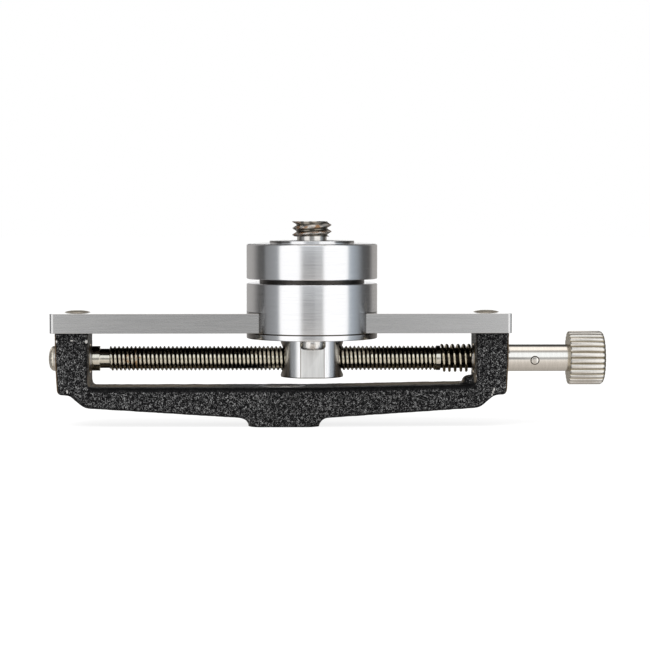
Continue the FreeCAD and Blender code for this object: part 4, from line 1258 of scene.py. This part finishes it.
class RAIL_OT_leadscrew(bpy.types.Operator):
    """Cut the leadscrew: its thread, neck, collars, shaft and tail"""

    bl_idname = "rail.leadscrew"
    bl_label = "Leadscrew"

    def execute(self, context):
        colours, sizes = context.scene.rail_colours, context.scene.rail_sizes
        low, high = node_box("leadscrew")[:2]
        collar, crest = high.y, 2.97 * MM
        root = crest - sizes.screw_depth * sizes.screw_pitch
        left = node_box("thrust_washer")[1].x
        neck, start = left + 2.0 * MM, left + 4.3 * MM
        spring = node_box("backlash_spring")[0].x
        end = spring - 1.1 * MM
        winding = thread("lead_thread", root, crest, sizes.screw_pitch, start, end, 0.5, 0.11, 40)
        winding.rotation_euler = (0, math.radians(90), 0)
        winding.location = SCREW_AXIS
        journal, neck_radius, shaft, tail = 2.0 * MM, 2.35 * MM, 2.5 * MM, 2.1 * MM
        overlap, spring_gap = 0.1 * MM, 0.03 * MM
        tail_start = node_box("right_bush")[1].x + 0.05 * MM
        left_end = (
            (low.x, 0.0, 0),
            (low.x, journal, 0),
            (left, journal, 0),
            (left, collar, 0.1 * MM),
            (neck, collar, 0.1 * MM),
            (neck, neck_radius, 0.1 * MM),
            (start + overlap, neck_radius, 0),
            (start + overlap, 0.0, 0),
        )
        right_end = (
            (end - overlap, 0.0, 0),
            (end - overlap, root, 0),
            (end, collar, 0.1 * MM),
            (spring - spring_gap, collar, 0.1 * MM),
            (spring - spring_gap, shaft, 0),
            (tail_start, shaft, 0),
            (tail_start, tail, 0),
            (high.x, tail, 0),
            (high.x, 0.0, 0),
        )
        ends = [turned("screw_end", corners, SCREW_AXIS, "X", steps=72) for corners in (left_end, right_end)]
        piece = joined("cut_leadscrew", [winding, *ends])
        # the dark roots run on to the spring washer, so the shaft inside the spring is dark too; the last
        # value sets the painted shade on what faces up and down
        finish = threaded_steel(
            "oiled_steel", colours.oiled, colours.residue_and_shade, colours.rust, SCREW_AXIS, "X", 2.72 * MM,
            (start, node_box("spring_washer")[0].x), (start + 2 * MM, start + 9 * MM), painted_shade_up_down=0.92,
        )
        dress(piece, "leadscrew", "oiled_steel", finish, "leadscrew")
        return {"FINISHED"}


class RAIL_OT_spring(bpy.types.Operator):
    """Smooth the backlash spring's wire and darken it"""

    bl_idname = "rail.spring"
    bl_label = "Backlash spring"

    def execute(self, context):
        colours = context.scene.rail_colours
        piece = worked_copy("backlash_spring", "wound_spring", smooth=70.0)
        finish = plain_metal("spring_steel", (0.62, 0.55, 0.42), 0.10, 0.5, tuple(colours.residue_and_shade))
        dress(piece, "leadscrew", "oiled_steel", finish, "backlash_spring")
        return {"FINISHED"}


class RAIL_OT_knob(bpy.types.Operator):
    """Make the fluted knob, and dress the sleeve and its pin"""

    bl_idname = "rail.knob"
    bl_label = "Knob"

    def execute(self, context):
        colours, sizes = context.scene.rail_colours, context.scene.rail_sizes
        low, high = node_box("knob")[:2]
        radius = high.y
        piece = self.fluted_blank(low.x, high.x, radius, sizes)
        finish = plated("warm_plate", colours.plate, 0.32, radius - sizes.flute_depth, radius - 0.15 * MM)
        dress(piece, "leadscrew", "warm_plate", finish, "knob")
        skin = plated("sleeve_plate", rgba(colours.plate, 1.16)[:3], 0.13, pin=node_box("knob_pin")[2].x)
        dress(self.sleeve(low.x), "leadscrew", "warm_plate", skin, "knob_sleeve")
        pin = worked_copy("knob_pin", "cross_pin", 0.08 * MM)
        dress(pin, "leadscrew", "bright_steel", plain_metal("pin_steel", colours.plate, 0.2, 0.1), "knob_pin")
        return {"FINISHED"}

    def sleeve(self, knob_start):
        """The sleeve and its spigot inside the knob, with a hole a little wider than its cross pin."""
        low, high = node_box("knob_sleeve")[:2]
        skin, spigot, bore = high.y, 2.7 * MM, 2.1 * MM
        corners = (
            (low.x, bore, 0), (low.x, skin, 0.15 * MM), (knob_start, skin, 0), (knob_start, spigot, 0),
            (high.x, spigot, 0), (high.x, bore, 0), (low.x, bore, 0),
        )
        piece = turned("pinned_sleeve", corners, SCREW_AXIS, "X", steps=96)
        hole = drill(Vector((0, 0, 0)), 0.96 * MM, -5 * MM, 5 * MM, "Z")
        hole.location = node_box("knob_pin")[2]
        hole.rotation_euler = (math.radians(90) + PIN_TILT, 0, 0)
        return finished(cut(piece, hole), "pinned_sleeve")

    def fluted_blank(self, start, end, radius, sizes):
        """A fluted bar, drawn as its section and pushed out along the axis, with a rounded far end."""
        # share of a flute's width, and how much of the groove's depth is cut there
        section = (
            (0.0, 1.0), (0.10, 0.80), (0.20, 0.38), (0.31, 0.08), (0.5, 0.0), (0.69, 0.08), (0.80, 0.38),
            (0.90, 0.80),
        )
        points = []
        for flute in range(sizes.flutes):
            for share, depth in section:
                angle = math.tau * (flute + share + 0.5) / sizes.flutes
                reach = radius - depth * sizes.flute_depth
                points.append(Vector((start, reach * math.sin(angle), SCREW_LINE + reach * math.cos(angle))))
        piece = trace(points)
        pick(piece)
        bpy.ops.object.mode_set(mode="EDIT")
        bpy.ops.mesh.select_all(action="SELECT")
        bpy.ops.mesh.edge_face_add()
        centre = Vector((start, 0, SCREW_LINE))
        near_end = 0.965
        bpy.ops.transform.resize(value=(1, near_end, near_end), center_override=centre)
        # how far along each stretch runs, and how wide the section is there
        length = end - start
        edge = 0.25 * MM
        stretches = (
            (edge, 1 / near_end), (length - edge - 0.95 * MM, 1.0), (0.40 * MM, 0.975),
            (0.33 * MM, 0.955), (0.22 * MM, 0.90), (0.0, 0.90),
        )
        for run, wide in stretches:
            bpy.ops.mesh.extrude_region_move(TRANSFORM_OT_translate={"value": (run, 0, 0)})
            bpy.ops.transform.resize(value=(1, wide, wide), center_override=centre)
        bpy.ops.mesh.select_all(action="SELECT")
        bpy.ops.mesh.normals_make_consistent(inside=False)
        bpy.ops.object.mode_set(mode="OBJECT")
        return finished(piece, "fluted_knob", 32.0)


class RAIL_OT_screws(bpy.types.Operator):
    """Break the edges of the screws that show"""

    bl_idname = "rail.screws"
    bl_label = "Screws"

    def execute(self, context):
        colours = context.scene.rail_colours
        bright = plain_metal("screw_steel", colours.steel, 0.24, 0.3)
        warm = plain_metal("warm_screw_steel", (0.88, 0.82, 0.71), 0.42, 0.3, (0.30, 0.17, 0.08))
        for node, body, name, finish in (
            ("bar_screws", "frame", "bar_screw_pair", warm),
            ("plate_screws", "carriage", "plate_screw_pair", bright),
            ("end_screw", "leadscrew", "domed_screw", warm),
        ):
            piece = worked_copy(node, name, 0.08 * MM)
            if node == "end_screw":
                pick(piece)
                slot_turn = math.radians(62)
                bpy.ops.transform.rotate(value=slot_turn, orient_axis="X", center_override=SCREW_AXIS)
                finished(piece, name)
            dress(piece, body, "bright_steel", finish, node)
        return {"FINISHED"}


class RAIL_OT_small_parts(bpy.types.Operator):
    """Give the small and hidden parts their metals"""

    bl_idname = "rail.small_parts"
    bl_label = "Small parts"

    def execute(self, context):
        colours = context.scene.rail_colours
        finishes = {
            "bright_steel": plain_metal("bright_steel", colours.steel),
            "bearing_brass": plain_metal("bearing_brass", (0.70, 0.52, 0.26)),
        }
        ring = painted_ring(colours.steel, colours.paint)
        for part in frame["record"]["subparts"]:
            if part["material_slot"] in finishes:
                piece = frame["nodes"][part["node"]]
                finish = ring if part["node"] == "tripod_bush" else finishes[part["material_slot"]]
                piece.data.materials.clear()
                piece.data.materials.append(finish)
        return {"FINISHED"}


class RAIL_PT_panel(bpy.types.Panel):
    """The rail's panel in the sidebar"""

    bl_label = "Focusing rail"
    bl_idname = "RAIL_PT_panel"
    bl_space_type = "VIEW_3D"
    bl_region_type = "UI"
    bl_category = "Rail"

    def draw(self, context):
        for group in (context.scene.rail_sizes, context.scene.rail_colours):
            for name in group.__annotations__:
                self.layout.prop(group, name)
        for operator in OPERATORS:
            self.layout.operator(operator.bl_idname)


OPERATORS = (
    RAIL_OT_stage, RAIL_OT_casting, RAIL_OT_bar, RAIL_OT_discs, RAIL_OT_nut_post, RAIL_OT_camera_stud,
    RAIL_OT_leadscrew, RAIL_OT_spring, RAIL_OT_knob, RAIL_OT_screws, RAIL_OT_small_parts,
)
CLASSES = (RailSizes, RailColours, *OPERATORS, RAIL_PT_panel)


def register():
    """Register the classes and hang the settings on the scene."""
    for item in CLASSES:
        bpy.utils.register_class(item)
    bpy.types.Scene.rail_sizes = bpy.props.PointerProperty(type=RailSizes)
    bpy.types.Scene.rail_colours = bpy.props.PointerProperty(type=RailColours)


def unregister():
    """Take the settings and the classes away again."""
    del bpy.types.Scene.rail_colours
    del bpy.types.Scene.rail_sizes
    for item in reversed(CLASSES):
        bpy.utils.unregister_class(item)


def main():
    """Dress the rail."""
    register()
    bpy.ops.rail.stage()
    bpy.ops.rail.casting()
    bpy.ops.rail.bar()
    bpy.ops.rail.discs()
    bpy.ops.rail.nut_post()
    bpy.ops.rail.camera_stud()
    bpy.ops.rail.leadscrew()
    bpy.ops.rail.spring()
    bpy.ops.rail.knob()
    bpy.ops.rail.screws()
    bpy.ops.rail.small_parts()
    select_none()


if __name__ == "__main__":
    main()
